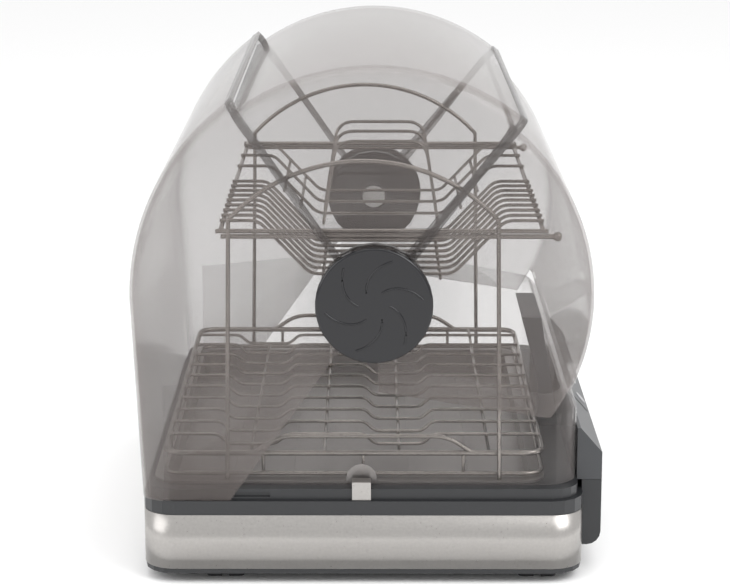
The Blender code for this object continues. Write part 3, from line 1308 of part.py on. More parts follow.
def build_covers():
    """Make the fixed rear cover and the two covers that roll back on the hub."""
    full = HUB_HEIGHT - COVER_BOTTOM
    clear = EAR_ROOT * math.tan(math.radians(REAR_CUT_ANGLE - HALF_TURN))
    drops = (clear, (clear + full) / 2, full)
    stations = sweep(REAR_EDGE_ANGLE, HALF_TURN, REAR_RADIUS) + [rear_station(drop) for drop in drops]
    rear = build_cover("rear_cover", stations, REAR_HALF, REAR_FILLET, everywhere)
    add_ears(rear, REAR_HALF)
    whole = (0, LAST_COLUMN)
    edge = [parallel_station(REAR_EDGE_ANGLE, o, REAR_RADIUS) for o in (-BAND_LEAD, BAND_WIDTH)]
    join(rear, band_between(edge, REAR_HALF, REAR_FILLET, whole))
    sill = [rear_station(full - offset, BAND_LEAD) for offset in (BAND_WIDTH, BAND_LEAD)]
    join(rear, band_between(sill, REAR_HALF, REAR_FILLET, whole))

    stations = sweep(MIDDLE_FRONT_ANGLE, MIDDLE_REAR_ANGLE, MIDDLE_RADIUS)
    middle = build_cover("middle_cover", stations, MIDDLE_HALF, MIDDLE_FILLET, everywhere)
    edge = [parallel_station(MIDDLE_FRONT_ANGLE, o, MIDDLE_RADIUS) for o in (-BAND_LEAD, BAND_WIDTH)]
    join(middle, band_between(edge, MIDDLE_HALF, MIDDLE_FILLET, whole))
    add_ears(middle, MIDDLE_HALF)

    wing = sweep(FRONT_WING_ANGLE, FRONT_LIP_ANGLE, FRONT_RADIUS)
    stations = wing[:-1] + sweep(FRONT_LIP_ANGLE, FRONT_REAR_ANGLE, FRONT_RADIUS)
    wing_rows = len(wing) - 1

    def keep(row, column):
        return row >= wing_rows or column < WALL_COLUMNS or column > LAST_COLUMN - WALL_COLUMNS

    front = build_cover("front_cover", stations, FRONT_HALF, FRONT_FILLET, keep)
    lip = [parallel_station(FRONT_LIP_ANGLE, o, FRONT_RADIUS) for o in (-BAND_LEAD, BAND_WIDTH)]
    middle_part = (LIP_COLUMNS, LAST_COLUMN - LIP_COLUMNS)
    join(front, band_between(lip, FRONT_HALF, FRONT_FILLET, middle_part))
    add_ears(front, FRONT_HALF)
    reach = FRONT_RADIUS + OVERRUN
    outline = [(y, -WING_HEIGHT_AT_HUB + WING_SLOPE_SHARE * y) for y in (reach, -reach)]
    outline += [(-reach, -reach), (reach, -reach)]
    cut(front, prism_x(outline, -BASE_HALF, BASE_HALF))


def guard_side():
    """Return (y, top height) along one end wall of the guard, from the rear to the front corner."""
    front = GUARD_FRONT_Y + GUARD_CORNER
    tower = GUARD_TOWER_HEAD
    line = [(GUARD_REAR_Y, GUARD_REAR_Z), (HUB_Y + GUARD_TOWER_FOOT, GUARD_CREST_Z)]
    for step in range(CORNER_STEPS + 2):
        turn = math.pi * step / (CORNER_STEPS + 1)
        line.append((HUB_Y + tower * math.cos(turn), HUB_HEIGHT + tower * math.sin(turn)))
    line.append((HUB_Y - GUARD_TOWER_FOOT, GUARD_CREST_Z))
    line.append((front, GUARD_LIP_Z))
    return line


def guard_stations():
    """Return (outer point, inward side, lean share, top height) round the guard's U in plan."""
    stations = [(Vector((-GUARD_HALF, y, 0)), X_AXIS, 0, top) for y, top in guard_side()]
    centre = Vector((-GUARD_HALF + GUARD_CORNER, GUARD_FRONT_Y + GUARD_CORNER, 0))
    for step in range(1, CORNER_STEPS + 1):
        share = step / CORNER_STEPS
        turn = math.pi / 2 * share
        outward = Vector((-math.cos(turn), -math.sin(turn), 0))
        stations.append((centre + outward * GUARD_CORNER, -outward, math.sin(turn), GUARD_LIP_Z))
    mirrored = []
    for point, inward, lean, top in reversed(stations):
        flipped = Vector((-point.x, point.y, 0))
        mirrored.append((flipped, Vector((-inward.x, inward.y, 0)), lean, top))
    return stations + mirrored


def guard_grid(offset):
    """Return the grid of points of the guard's outer or inner face."""
    grid = []
    for point, inward, lean, top in guard_stations():
        waist = min(GUARD_WAIST_Z, top)
        column = [point + inward * offset + Z_AXIS * height for height in (GUARD_Z, waist)]
        for step in range(1, FILLET_STEPS):
            share = step / (FILLET_STEPS - 1)
            curl = GUARD_LIP_IN * lean * (1 - math.cos(math.pi / 2 * share))
            height = waist + (top - waist) * share
            column.append(point + inward * (offset + curl) + Z_AXIS * height)
        grid.append(column)
    return grid


def build_guard():
    """Make the clear guard with the tower that carries the hub at each end."""
    guard = place(shell(guard_grid(0), guard_grid(COVER_WALL), everywhere), "front_guard", "clear_guard")
    bore = circle(PIN_BORE, BORE_STEPS, (HUB_Y, HUB_HEIGHT))
    cut(guard, prism_x(bore, -BASE_HALF, BASE_HALF))


def swirl_grooves(side, face):
    """Return the curved grooves that are cut in the outer face of a hub cap."""
    grooves = bmesh.new()
    for index in range(SWIRL_COUNT):
        start = math.tau * index / SWIRL_COUNT
        sections = []
        for step in range(SWIRL_STATIONS):
            share = step / (SWIRL_STATIONS - 1)
            radius = SWIRL_INNER + (SWIRL_OUTER - SWIRL_INNER) * share
            turn = start + math.radians(SWIRL_SWEEP) * share
            outward = Vector((0, math.cos(turn), math.sin(turn)))
            around = Vector((0, -math.sin(turn), math.cos(turn)))
            pace = math.radians(SWIRL_SWEEP) * radius / (SWIRL_OUTER - SWIRL_INNER)
            across = (around - outward * pace).normalized() * (SWIRL_WIDTH / 2)
            spot = outward * radius
            low = X_AXIS * side * (face - CAP_DOME * (radius / CAP_RADIUS) ** 2 - SWIRL_DEPTH)
            high = X_AXIS * side * (face + CAP_DOME)
            corners = ((low, -1), (low, 1), (high, 1), (high, -1))
            sections.append([spot + level_point + across * hand for level_point, hand in corners])
        loft(sections, bm=grooves)
    return grooves


def build_hubs():
    """Make the pin, inner retainer, washer and outer cap of the hub at each end."""
    guard_inside = GUARD_HALF - COVER_WALL
    seat = REAR_HALF + SEAT_GAP
    outside = REAR_HALF + BAND_RISE + SEAT_GAP
    recess = max(seat + WASHER_WALL + SEAT_GAP, outside + SEAT_GAP)
    for side, word in SIDES:
        inner = guard_inside - SEAT_GAP - RETAINER_HEIGHT
        outer = outside + CAP_SOCKET - SEAT_GAP
        pin = [(inner + SEAT_GAP, 0), (outer, 0), (outer, PIN_RADIUS), (inner + SEAT_GAP, PIN_RADIUS)]
        place(revolve_x(pin, BORE_STEPS, side), word + "_hub_pin", "pin_steel", HUB)
        high = seat + WASHER_WALL
        profile = [(seat, PIN_BORE), (high, PIN_BORE), (high, WASHER_RADIUS), (seat, WASHER_RADIUS)]
        place(revolve_x(profile, BORE_STEPS, side), word + "_hub_washer", "pin_steel", HUB)
        face = outside + CAP_HEIGHT
        rim = face - CAP_DOME
        profile = [
            (outside + CAP_SOCKET, 0),
            (outside + CAP_SOCKET, PIN_BORE),
            (recess, PIN_BORE),
            (recess, WASHER_RADIUS + RUN_GAP),
            (outside, WASHER_RADIUS + RUN_GAP),
            (outside, CAP_RADIUS - CAP_EDGE / 2),
            (outside + CAP_EDGE, CAP_RADIUS),
            (rim - CAP_EDGE, CAP_RADIUS),
            (rim, CAP_RADIUS - CAP_EDGE),
        ]
        profile += [(face - CAP_DOME * share**2, CAP_RADIUS * share) for share in CAP_DOME_SHARES]
        cap = place(revolve_x(profile, DISC_STEPS, side), word + "_hub_cap", "gloss_black", HUB)
        cut(cap, swirl_grooves(side, face))
        far = guard_inside - SEAT_GAP
        ring = RETAINER_RADIUS - RETAINER_RING
        collar = PIN_BORE + RETAINER_RING
        profile = [
            (far, PIN_BORE),
            (far, RETAINER_RADIUS),
            (inner + RETAINER_RECESS / 2, RETAINER_RADIUS),
            (inner, RETAINER_RADIUS - RETAINER_RECESS / 2),
            (inner, ring),
            (inner + RETAINER_RECESS, ring),
            (inner + RETAINER_RECESS, collar),
            (inner, collar),
            (inner, PIN_BORE),
        ]
        retainer = place(revolve_x(profile, DISC_STEPS, side), word + "_hub_retainer", "charcoal", HUB)
        lugs = bmesh.new()
        floor = inner + RETAINER_RECESS
        low, high = sorted((side * (floor - LUG_RISE), side * (floor + LUG_RISE)))
        for y, z in circle((ring + collar) / 2, LUG_COUNT):
            prism_x(circle(LUG_RADIUS, SMALL_STEPS, (y, z)), low, high, bm=lugs)
        join(retainer, lugs)


def main():
    """Clear the scene and make every piece."""
    for thing in list(bpy.data.objects):
        bpy.data.objects.remove(thing, do_unlink=True)
    build_feet()
    build_pan()
    build_skirt()
    build_rim()
    build_tray()
    build_clips()
    build_console()
    build_duct()
    build_air_path()
    build_lower_rack()
    build_arches()
    build_upper_rack()
    build_covers()
    build_guard()
    build_hubs()


main()
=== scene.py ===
"""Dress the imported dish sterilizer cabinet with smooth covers, bright wires and its real finishes.

Metres, +Z up, in the frame's own place. Sizes come from the frame's boxes wherever they can.
"""
import logging
import math
from dataclasses import dataclass
from enum import Enum
from functools import lru_cache
from typing import Optional

import bmesh
import bpy
from mathutils import Matrix, Vector


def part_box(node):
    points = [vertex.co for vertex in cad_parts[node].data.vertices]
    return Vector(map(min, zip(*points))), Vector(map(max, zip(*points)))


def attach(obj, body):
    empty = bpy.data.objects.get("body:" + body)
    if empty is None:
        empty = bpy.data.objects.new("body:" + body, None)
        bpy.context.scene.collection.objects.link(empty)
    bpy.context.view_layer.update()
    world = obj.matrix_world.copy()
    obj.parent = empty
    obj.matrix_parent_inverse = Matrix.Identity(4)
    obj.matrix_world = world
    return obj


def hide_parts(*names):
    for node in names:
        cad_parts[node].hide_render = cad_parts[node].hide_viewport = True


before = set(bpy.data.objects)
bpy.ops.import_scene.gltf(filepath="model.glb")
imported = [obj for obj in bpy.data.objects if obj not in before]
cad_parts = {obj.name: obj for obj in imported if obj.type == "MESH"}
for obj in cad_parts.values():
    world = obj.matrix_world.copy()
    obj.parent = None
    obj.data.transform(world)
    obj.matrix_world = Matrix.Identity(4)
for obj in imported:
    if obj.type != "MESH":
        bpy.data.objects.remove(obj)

MM = 0.001
LOG = logging.getLogger("sterilizer_cabinet")
X_AXIS = Vector((1, 0, 0))
MERGE = 0.01 * MM


class Grain(Enum):
    """How a finish varies over its surface."""

    CLOUDED = (1.0, 1.0, 1.0)
    BRUSHED = (0.03, 1.0, 1.0)


@dataclass(frozen=True)
class Finish:
    """One finish, with its colour, gloss and the small variation that a real surface has."""

    name: str
    colour: tuple[float, float, float]
    roughness: float
    metallic: float = 0.0
    spread: float = 0.06
    scale: float = 60.0
    grain: Grain = Grain.CLOUDED
    bump: float = 0.02
    veil: Optional[tuple[float, float]] = None


SMOKY = Finish("smoky_clear", (0.20, 0.175, 0.165), 0.07, spread=0.03, scale=9, bump=0.0, veil=(0.20, 0.66))
BAND = Finish("smoky_band", (0.09, 0.08, 0.077), 0.10, spread=0.03, scale=9, bump=0.0, veil=(0.34, 0.7))
GUARD = Finish("clear_guard", (0.20, 0.185, 0.18), 0.06, spread=0.03, scale=9, bump=0.0, veil=(0.10, 0.5))
GLOSS = Finish("gloss_black", (0.006, 0.006, 0.008), 0.09, spread=0.03, scale=30, bump=0.0)
CHARCOAL = Finish("charcoal", (0.020, 0.021, 0.023), 0.38, scale=900, bump=0.03)
CONSOLE = Finish("console_grey", (0.045, 0.047, 0.051), 0.40, scale=900, bump=0.03)
DUCT = Finish("duct_grey", (0.040, 0.042, 0.048), 0.35, scale=900, bump=0.03)
STEEL = Finish("brushed_steel", (0.40, 0.385, 0.37), 0.30, 1.0, 0.10, 420, Grain.BRUSHED, 0.04)
TRAY = Finish("tray_steel", (0.36, 0.34, 0.33), 0.36, 1.0, 0.10, 420, Grain.BRUSHED, 0.04)
CHROME = Finish("chrome", (0.30, 0.275, 0.255), 0.16, 1.0, 0.04, 120, bump=0.0)
RUBBER = Finish("dark_rubber", (0.018, 0.018, 0.019), 0.62, scale=700, bump=0.06)
WINDOW = Finish("window_glass", (0.02, 0.02, 0.024), 0.07, spread=0.02, bump=0.0)
BUTTON = Finish("button_grey", (0.30, 0.30, 0.31), 0.33, scale=700)
BOARD = Finish("board_green", (0.02, 0.12, 0.06), 0.5, scale=400)
ALUMINIUM = Finish("aluminium", (0.72, 0.72, 0.71), 0.36, 1.0, 0.08, 300, Grain.BRUSHED)
LAMP = Finish("lamp_glass", (0.75, 0.78, 0.82), 0.08, spread=0.02, bump=0.0, veil=(0.35, 0.8))
PIN = Finish("pin_steel", (0.50, 0.50, 0.49), 0.3, 1.0, 0.08, 300)


@lru_cache(maxsize=None)
def material(finish: Finish) -> bpy.types.Material:
    """Build the procedural material of one finish.

    Args:
        finish: The finish to make.

    Returns:
        A material that reads Object coordinates only.
    """
    made = bpy.data.materials.new(finish.name)
    made.use_nodes = True
    tree = made.node_tree
    shader = tree.nodes["Principled BSDF"]
    shader.inputs["Metallic"].default_value = finish.metallic
    place = tree.nodes.new("ShaderNodeTexCoord")
    turn = tree.nodes.new("ShaderNodeMapping")
    turn.inputs["Scale"].default_value = finish.grain.value
    noise = tree.nodes.new("ShaderNodeTexNoise")
    noise.inputs["Scale"].default_value = finish.scale
    noise.inputs["Detail"].default_value = 3.0
    tree.links.new(place.outputs["Object"], turn.inputs["Vector"])
    tree.links.new(turn.outputs["Vector"], noise.inputs["Vector"])
    rough = tree.nodes.new("ShaderNodeMapRange")
    rough.inputs["To Min"].default_value = finish.roughness * (1 - 2 * finish.spread)
    rough.inputs["To Max"].default_value = finish.roughness * (1 + 2 * finish.spread)
    tree.links.new(noise.outputs["Fac"], rough.inputs["Value"])
    tree.links.new(rough.outputs["Result"], shader.inputs["Roughness"])
    ramp = tree.nodes.new("ShaderNodeValToRGB")
    low, high = ramp.color_ramp.elements
    low.color = (*[value * (1 - finish.spread) for value in finish.colour], 1)
    high.color = (*[min(1.0, value * (1 + finish.spread)) for value in finish.colour], 1)
    tree.links.new(noise.outputs["Fac"], ramp.inputs["Fac"])
    tree.links.new(ramp.outputs["Color"], shader.inputs["Base Color"])
    if finish.bump:
        bump = tree.nodes.new("ShaderNodeBump")
        bump.inputs["Strength"].default_value = finish.bump
        bump.inputs["Distance"].default_value = 0.2 * MM
        tree.links.new(noise.outputs["Fac"], bump.inputs["Height"])
        tree.links.new(bump.outputs["Normal"], shader.inputs["Normal"])
    if finish.veil:
        edge = tree.nodes.new("ShaderNodeLayerWeight")
        edge.inputs["Blend"].default_value = 0.35
        veil = tree.nodes.new("ShaderNodeMapRange")
        veil.inputs["To Min"].default_value = finish.veil[0]
        veil.inputs["To Max"].default_value = finish.veil[1]
        tree.links.new(edge.outputs["Facing"], veil.inputs["Value"])
        tree.links.new(veil.outputs["Result"], shader.inputs["Alpha"])
    made.diffuse_color = (*finish.colour, 1)
    return made


@dataclass(frozen=True)
class Piece:
    """One finished piece: what it stands for, what carries it, and how it is dressed."""

    name: str
    body: str
    nodes: tuple[str, ...]
    finish: Finish
    slot: str

    def show(self, bm: bmesh.types.BMesh, wall: float = 0.0, edge: float = 0.0) -> bpy.types.Object:
        """Turn a bmesh into the shown piece.

        Args:
            bm: The mesh, with its place in its vertices. It is freed.
            wall: Thickness that a Solidify modifier gives inwards.
            edge: Width of the Bevel modifier on sharp edges.

        Returns:
            The object, riding on its body.
        """
        mesh = bpy.data.meshes.new(self.name)
        bm.to_mesh(mesh)
        bm.free()
        mesh.shade_smooth()
        mesh.set_sharp_from_angle(angle=math.radians(38))
        thing = bpy.data.objects.new(self.name, mesh)
        bpy.context.scene.collection.objects.link(thing)
        mesh.materials.append(material(self.finish))
        if wall:
            shell = thing.modifiers.new("wall", "SOLIDIFY")
            shell.thickness = wall
            shell.offset = -1.0
            shell.use_even_offset = True
        if edge:
            soft = thing.modifiers.new("edge", "BEVEL")
            soft.width = edge
            soft.segments = 3
            soft.limit_method = "ANGLE"
            soft.angle_limit = math.radians(38)
        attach(thing, self.body)
        if self.nodes:
            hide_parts(*self.nodes)
        LOG.info("%s on %s: %d faces", self.name, self.body, len(mesh.polygons))
        return thing


def middle_of(node: str) -> Vector:
    """Return the middle of a CAD node's box."""
    low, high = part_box(node)
    return (low + high) / 2


HUB = Vector((0, middle_of("near_hub_pin").y, middle_of("near_hub_pin").z))


def tube(bm: bmesh.types.BMesh, path: list[Vector], radius: float, closed: bool = False, sides: int = 10) -> None:
    """Draw a round wire along a path by extruding a ring of edges.

    Args:
        bm: The mesh that takes the wire.
        path: The points of the wire's middle line.
        radius: Half the wire's thickness.
        closed: True for a ring that meets itself.
        sides: Facets round the wire.
    """
    count = len(path)
    frames = []
    for index, point in enumerate(path):
        before = path[index - 1] if closed or index else point * 2 - path[1]
        after = path[(index + 1) % count] if closed or index < count - 1 else point * 2 - path[-2]
        along = ((point - before).normalized() + (after - point).normalized()).normalized()
        turn = along.to_track_quat("Z", "X" if abs(along.x) < 0.9 else "Y")
        frames.append(Matrix.Translation(point) @ turn.to_matrix().to_4x4())
    made = bmesh.ops.create_circle(bm, segments=sides, radius=radius, matrix=frames[0])
    ring = list({edge for vert in made["verts"] for edge in vert.link_edges})
    first = ring
    for index in range(1, count):
        grown = bmesh.ops.extrude_edge_only(bm, edges=ring)["geom"]
        verts = [item for item in grown if isinstance(item, bmesh.types.BMVert)]
        inside = set(verts)
        ring = [e for e in grown if isinstance(e, bmesh.types.BMEdge) and set(e.verts) <= inside]
        bmesh.ops.transform(bm, matrix=frames[index] @ frames[index - 1].inverted(), verts=verts)
    if closed:
        bmesh.ops.bridge_loops(bm, edges=first + ring)
    else:
        bmesh.ops.contextual_create(bm, geom=first)
        bmesh.ops.contextual_create(bm, geom=ring)


def eased(points: list[Vector], radius: float, steps: int = 4, closed: bool = False) -> list[Vector]:
    """Round each corner of a path with a short curve that starts radius before it."""
    result: list[Vector] = []
    count = len(points)
    for index, corner in enumerate(points):
        if not closed and index in (0, count - 1):
            result.append(corner)
            continue
        before, after = points[index - 1], points[(index + 1) % count]
        start = corner + (before - corner).normalized() * min(radius, (before - corner).length / 2)
        end = corner + (after - corner).normalized() * min(radius, (after - corner).length / 2)
        for step in range(steps + 1):
            share = step / steps
            result.append(start.lerp(corner, share).lerp(corner.lerp(end, share), share))
    return result


def face_out(bm: bmesh.types.BMesh, centre: Vector) -> None:
    """Merge doubles and turn an open shell's faces away from a point inside it."""
    bmesh.ops.remove_doubles(bm, verts=bm.verts, dist=MERGE)
    bmesh.ops.recalc_face_normals(bm, faces=bm.faces)
    far = max(bm.faces, key=lambda face: (face.calc_center_median() - centre).length)
    if far.normal.dot(far.calc_center_median() - centre) < 0:
        bmesh.ops.reverse_faces(bm, faces=bm.faces)


@dataclass
class Cover:
    """One smoky cover that is part of a barrel about the hub."""

    piece: Piece
    half: float
    radius: float
    fillet: float
    first: float
    last: float
    wall: float = 2.5 * MM
    root: float = 12.5 * MM
    band: float = 6.5 * MM
    rise: float = 0.9 * MM
    step: float = 2.5

    def profile(self, bm: bmesh.types.BMesh, angle: float, grow: float = 0.0) -> list:
        """Add the section at an angle from the front upwards and return its verts and edges."""
        half, reach = self.half + grow, self.radius + grow
        corners = [(-half, self.root), (-half, reach), (half, reach), (half, self.root)]
        section = eased([Vector((x, 0, r)) for x, r in corners], self.fillet * 0.8, 8)
        turn = math.radians(angle)
        out = Vector((0, -math.cos(turn), math.sin(turn)))
        verts = [bm.verts.new(HUB + X_AXIS * p.x + out * p.z) for p in section]
        return verts + [bm.edges.new(pair) for pair in zip(verts, verts[1:])]

    def sweep(self, bm: bmesh.types.BMesh, first: float, last: float) -> list:
        """Spin the section between two angles and return the last section's geometry."""
        steps = max(1, round(abs(last - first) / self.step))
        angle = -math.radians(last - first)
        geom = self.profile(bm, first)
        done = bmesh.ops.spin(bm, geom=geom, cent=HUB, axis=X_AXIS, angle=angle, steps=steps)
        return done["geom_last"]

    def edge_band(self, angle: float, sign: float) -> None:
        """Add the thick band along the straight edge at an angle."""
        bm = bmesh.new()
        geom = self.profile(bm, angle, self.rise)
        edges = [item for item in geom if isinstance(item, bmesh.types.BMEdge)]
        grown = bmesh.ops.extrude_edge_only(bm, edges=edges)["geom"]
        verts = [item for item in grown if isinstance(item, bmesh.types.BMVert)]
        turn = math.radians(angle + 90)
        side = Vector((0, -math.cos(turn), math.sin(turn))) * (sign * self.band)
        bmesh.ops.translate(bm, verts=verts, vec=side)
        face_out(bm, HUB)
        name = self.piece.name + f"_band_{round(angle)}".replace("-", "m")
        Piece(name, self.piece.body, (), BAND, self.piece.slot).show(bm, self.wall)

    def build(self) -> None:
        """Make the shell and the band of its front edge."""
        bm = bmesh.new()
        self.sweep(bm, self.first, self.last)
        face_out(bm, HUB)
        self.piece.show(bm, self.wall)
        self.edge_band(self.first, 1.0)


@dataclass
class RearCover(Cover):
    """The fixed cover, whose wall runs straight down to the ledge behind the hub."""

    cut: float = 234.6

    def build(self) -> None:
        """Make the barrel part, the straight wall and the band of its front edge."""
        bm = bmesh.new()
        tail = self.sweep(bm, self.first, 180.0)
        edges = [item for item in tail if isinstance(item, bmesh.types.BMEdge)]
        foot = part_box(self.piece.nodes[0])[0].z
        drop = HUB.z - foot
        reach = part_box("stainless_skirt")[1].y
        grown = bmesh.ops.extrude_edge_only(bm, edges=edges)["geom"]
        verts = [item for item in grown if isinstance(item, bmesh.types.BMVert)]
        bmesh.ops.translate(bm, verts=verts, vec=(0, 0, -drop))
        squeeze = (reach - HUB.y) / self.radius
        for vert in verts:
            vert.co.y = HUB.y + (vert.co.y - HUB.y) * squeeze
        turn = math.radians(self.cut + 90)
        normal = Vector((0, -math.cos(turn), math.sin(turn)))
        whole = bm.verts[:] + bm.edges[:] + bm.faces[:]
        bmesh.ops.bisect_plane(bm, geom=whole, plane_co=HUB, plane_no=normal, clear_outer=True)
        face_out(bm, HUB)
        self.piece.show(bm, self.wall)
        self.edge_band(self.first, 1.0)


@dataclass
class FrontCover(Cover):
    """The front cover, with a wing on each end wall below its lip."""

    wing: float = -87.0
    drop: float = 78.5 * MM
    slope: float = 0.158

    def build(self) -> None:
        """Make the barrel part, both wings and the band of its upper edge."""
        bm = bmesh.new()
        self.sweep(bm, self.first, self.last)
        low = bmesh.new()
        self.sweep(low, self.first, self.wing)
        edge = self.half - self.fillet * 0.25
        gone = [face for face in low.faces if abs(face.calc_center_median().x) < edge]
        bmesh.ops.delete(low, geom=gone, context="FACES")
        whole = low.verts[:] + low.edges[:] + low.faces[:]
        spot = HUB - Vector((0, 0, self.drop))
        normal = Vector((0, self.slope, -1))
        bmesh.ops.bisect_plane(low, geom=whole, plane_co=spot, plane_no=normal, clear_outer=True)
        wings = bpy.data.meshes.new("wings")
        low.to_mesh(wings)
        low.free()
        bm.from_mesh(wings)
        bpy.data.meshes.remove(wings)
        face_out(bm, HUB)
        self.piece.show(bm, self.wall)
        self.edge_band(self.last, -1.0)


@dataclass
class HubCap:
    """The glossy cap with six curved ribs at one end of the hub."""

    side: int
    word: str
    swirls: int = 6
    inner: float = 13 * MM
    outer: float = 41 * MM
    turn: float = 52.0

    def build(self) -> None:
        """Spin the cap, bevel its edge and lay the curved ribs in its face."""
        node = self.word + "_hub_cap"
        low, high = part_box(node)
        radius = (high.z - low.z) / 2
        near, face = sorted((low.x, high.x), key=abs)
        bm = bmesh.new()
        length = abs(face - near) - 1.0 * MM
        spot = Matrix.Translation(Vector(((near + face - self.side * 1.0 * MM) / 2, HUB.y, HUB.z)))
        turn = Matrix.Rotation(math.pi / 2, 4, "Y")
        bmesh.ops.create_cone(
            bm, cap_ends=True, segments=96, radius1=radius, radius2=radius, depth=length, matrix=spot @ turn
        )
        Piece(self.word + "_cap", "base", (node,), GLOSS, "gloss_black").show(bm, edge=2.0 * MM)
        ribs = bmesh.new()
        plane = face - self.side * 1.0 * MM
        for index in range(self.swirls):
            start = math.tau * index / self.swirls
            path = []
            for step in range(13):
                share = step / 12
                reach = self.inner + (self.outer - self.inner) * share
                angle = start + math.radians(self.turn) * share
                path.append(Vector((plane, HUB.y + reach * math.cos(angle), HUB.z + reach * math.sin(angle))))
            tube(ribs, path, 0.9 * MM)
        Piece(self.word + "_cap_ribs", "base", (), GLOSS, "gloss_black").show(ribs)


@dataclass
class Arches:
    """The arch and crossbar at each end."""

    wire: float = 2.0 * MM
    foot: float = 116.5 * MM
    bend: float = 113.0 * MM
    bend_rise: float = 66.0 * MM
    crown_rise: float = 116.0 * MM

    def build(self, base: float, word: str) -> None:
        """Bend one arch and lay its crossbar."""
        node = word + "_arch"
        low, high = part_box(node)
        side = 1 if low.x > 0 else -1
        x = (high.x if side > 0 else low.x) - side * self.wire
        rise = self.crown_rise - self.bend_rise
        radius = (self.bend**2 + rise**2) / (2 * rise)
        spread = math.asin(self.bend / radius)
        crown = HUB.z + self.crown_rise
        path = [Vector((x, base + self.foot, low.z))]
        for step in range(25):
            turn = spread * (1 - 2 * step / 24)
            path.append(Vector((x, base + radius * math.sin(turn), crown - radius * (1 - math.cos(turn)))))
        path.append(Vector((x, base - self.foot, low.z)))
        bm = bmesh.new()
        tube(bm, path, self.wire)
        bar = x - side * 2.9 * MM
        height = HUB.z + 51.5 * MM
        front = low.y + 4 * MM
        tube(bm, [Vector((bar, front, height)), Vector((bar, base + 119.5 * MM, height))], self.wire)
        spot = Matrix.Translation(Vector((bar, front, height)))
        bmesh.ops.create_uvsphere(bm, u_segments=16, v_segments=10, radius=4 * MM, matrix=spot)
        Piece(word + "_arch_wire", "drip_tray", (node,), CHROME, "chrome").show(bm)


@dataclass
class LowerRack:
    """The lower rack with its dipped cross wires."""

    thin: float = 1.5 * MM
    frame_wire: float = 2.0 * MM
    rim_wire: float = 2.5 * MM
    half: float = 218 * MM
    corner: float = 18 * MM
    count: int = 10
    pitch: float = 39.3 * MM
    start: float = 171 * MM
    dips: tuple[float, float] = (98 * MM, -31 * MM)
    dip_half: float = 30 * MM
    slope: float = 9 * MM
    depth: float = 9 * MM

    def build(self, base: float) -> None:
        """Bend both rims, the cross wires, the ties, the struts and the handles."""
        low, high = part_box("lower_rack")
        front, rear = low.y + self.rim_wire, high.y - self.rim_wire
        foot = low.z + self.frame_wire
        rim = foot + 18.2 * MM
        cross = rim + 2.9 * MM
        bm = bmesh.new()
        plan = [(-self.half, rear), (self.half, rear), (self.half, front), (-self.half, front)]
        for height, radius in ((foot, self.frame_wire), (rim, self.rim_wire)):
            corners = [Vector((x, y, height)) for x, y in plan]
            tube(bm, eased(corners, self.corner, 8, closed=True), radius, closed=True)
        pairs = [(rear, cross)]
        for middle in self.dips:
            y = base + middle
            inner = self.dip_half - self.slope
            pairs += [(y + self.dip_half, cross), (y + inner, cross - self.depth)]
            pairs += [(y - inner, cross - self.depth), (y - self.dip_half, cross)]
        pairs.append((front, cross))
        for index in range(self.count):
            x = -self.start + self.pitch * index
            tube(bm, eased([Vector((x, y, z)) for y, z in pairs], 5 * MM, 3), self.thin, sides=8)
        for y in (33.5 * MM, -107.75 * MM):
            ends = [Vector((x, base + y, cross - 2.2 * MM)) for x in (-self.half, self.half)]
            tube(bm, ends, self.thin, sides=8)
        for y in self.dips:
            z = cross - self.depth - 2.2 * MM
            ends = [Vector((x, base + y, z)) for x in (-self.start - 9 * MM, 191.7 * MM)]
            tube(bm, ends, self.thin, sides=8)
        struts = [(x, y) for x in (-148 * MM, 0, 148 * MM) for y in (front, rear)]
        struts += [(x, base + y) for x in (-self.half, self.half) for y in (-86 * MM, 0, 86 * MM)]
        for x, y in struts:
            tube(bm, [Vector((x, y, foot)), Vector((x, y, rim))], self.thin, sides=8)
        for x in (-self.half, self.half):
            line = [(94 * MM, 0), (72 * MM, 15 * MM), (-72 * MM, 15 * MM), (-94 * MM, 0)]
            path = [Vector((x, base + y, rim + z)) for y, z in line]
            tube(bm, eased(path, 12 * MM, 6), self.frame_wire)
        Piece("lower_rack_wire", "lower_rack", ("lower_rack",), CHROME, "chrome").show(bm)


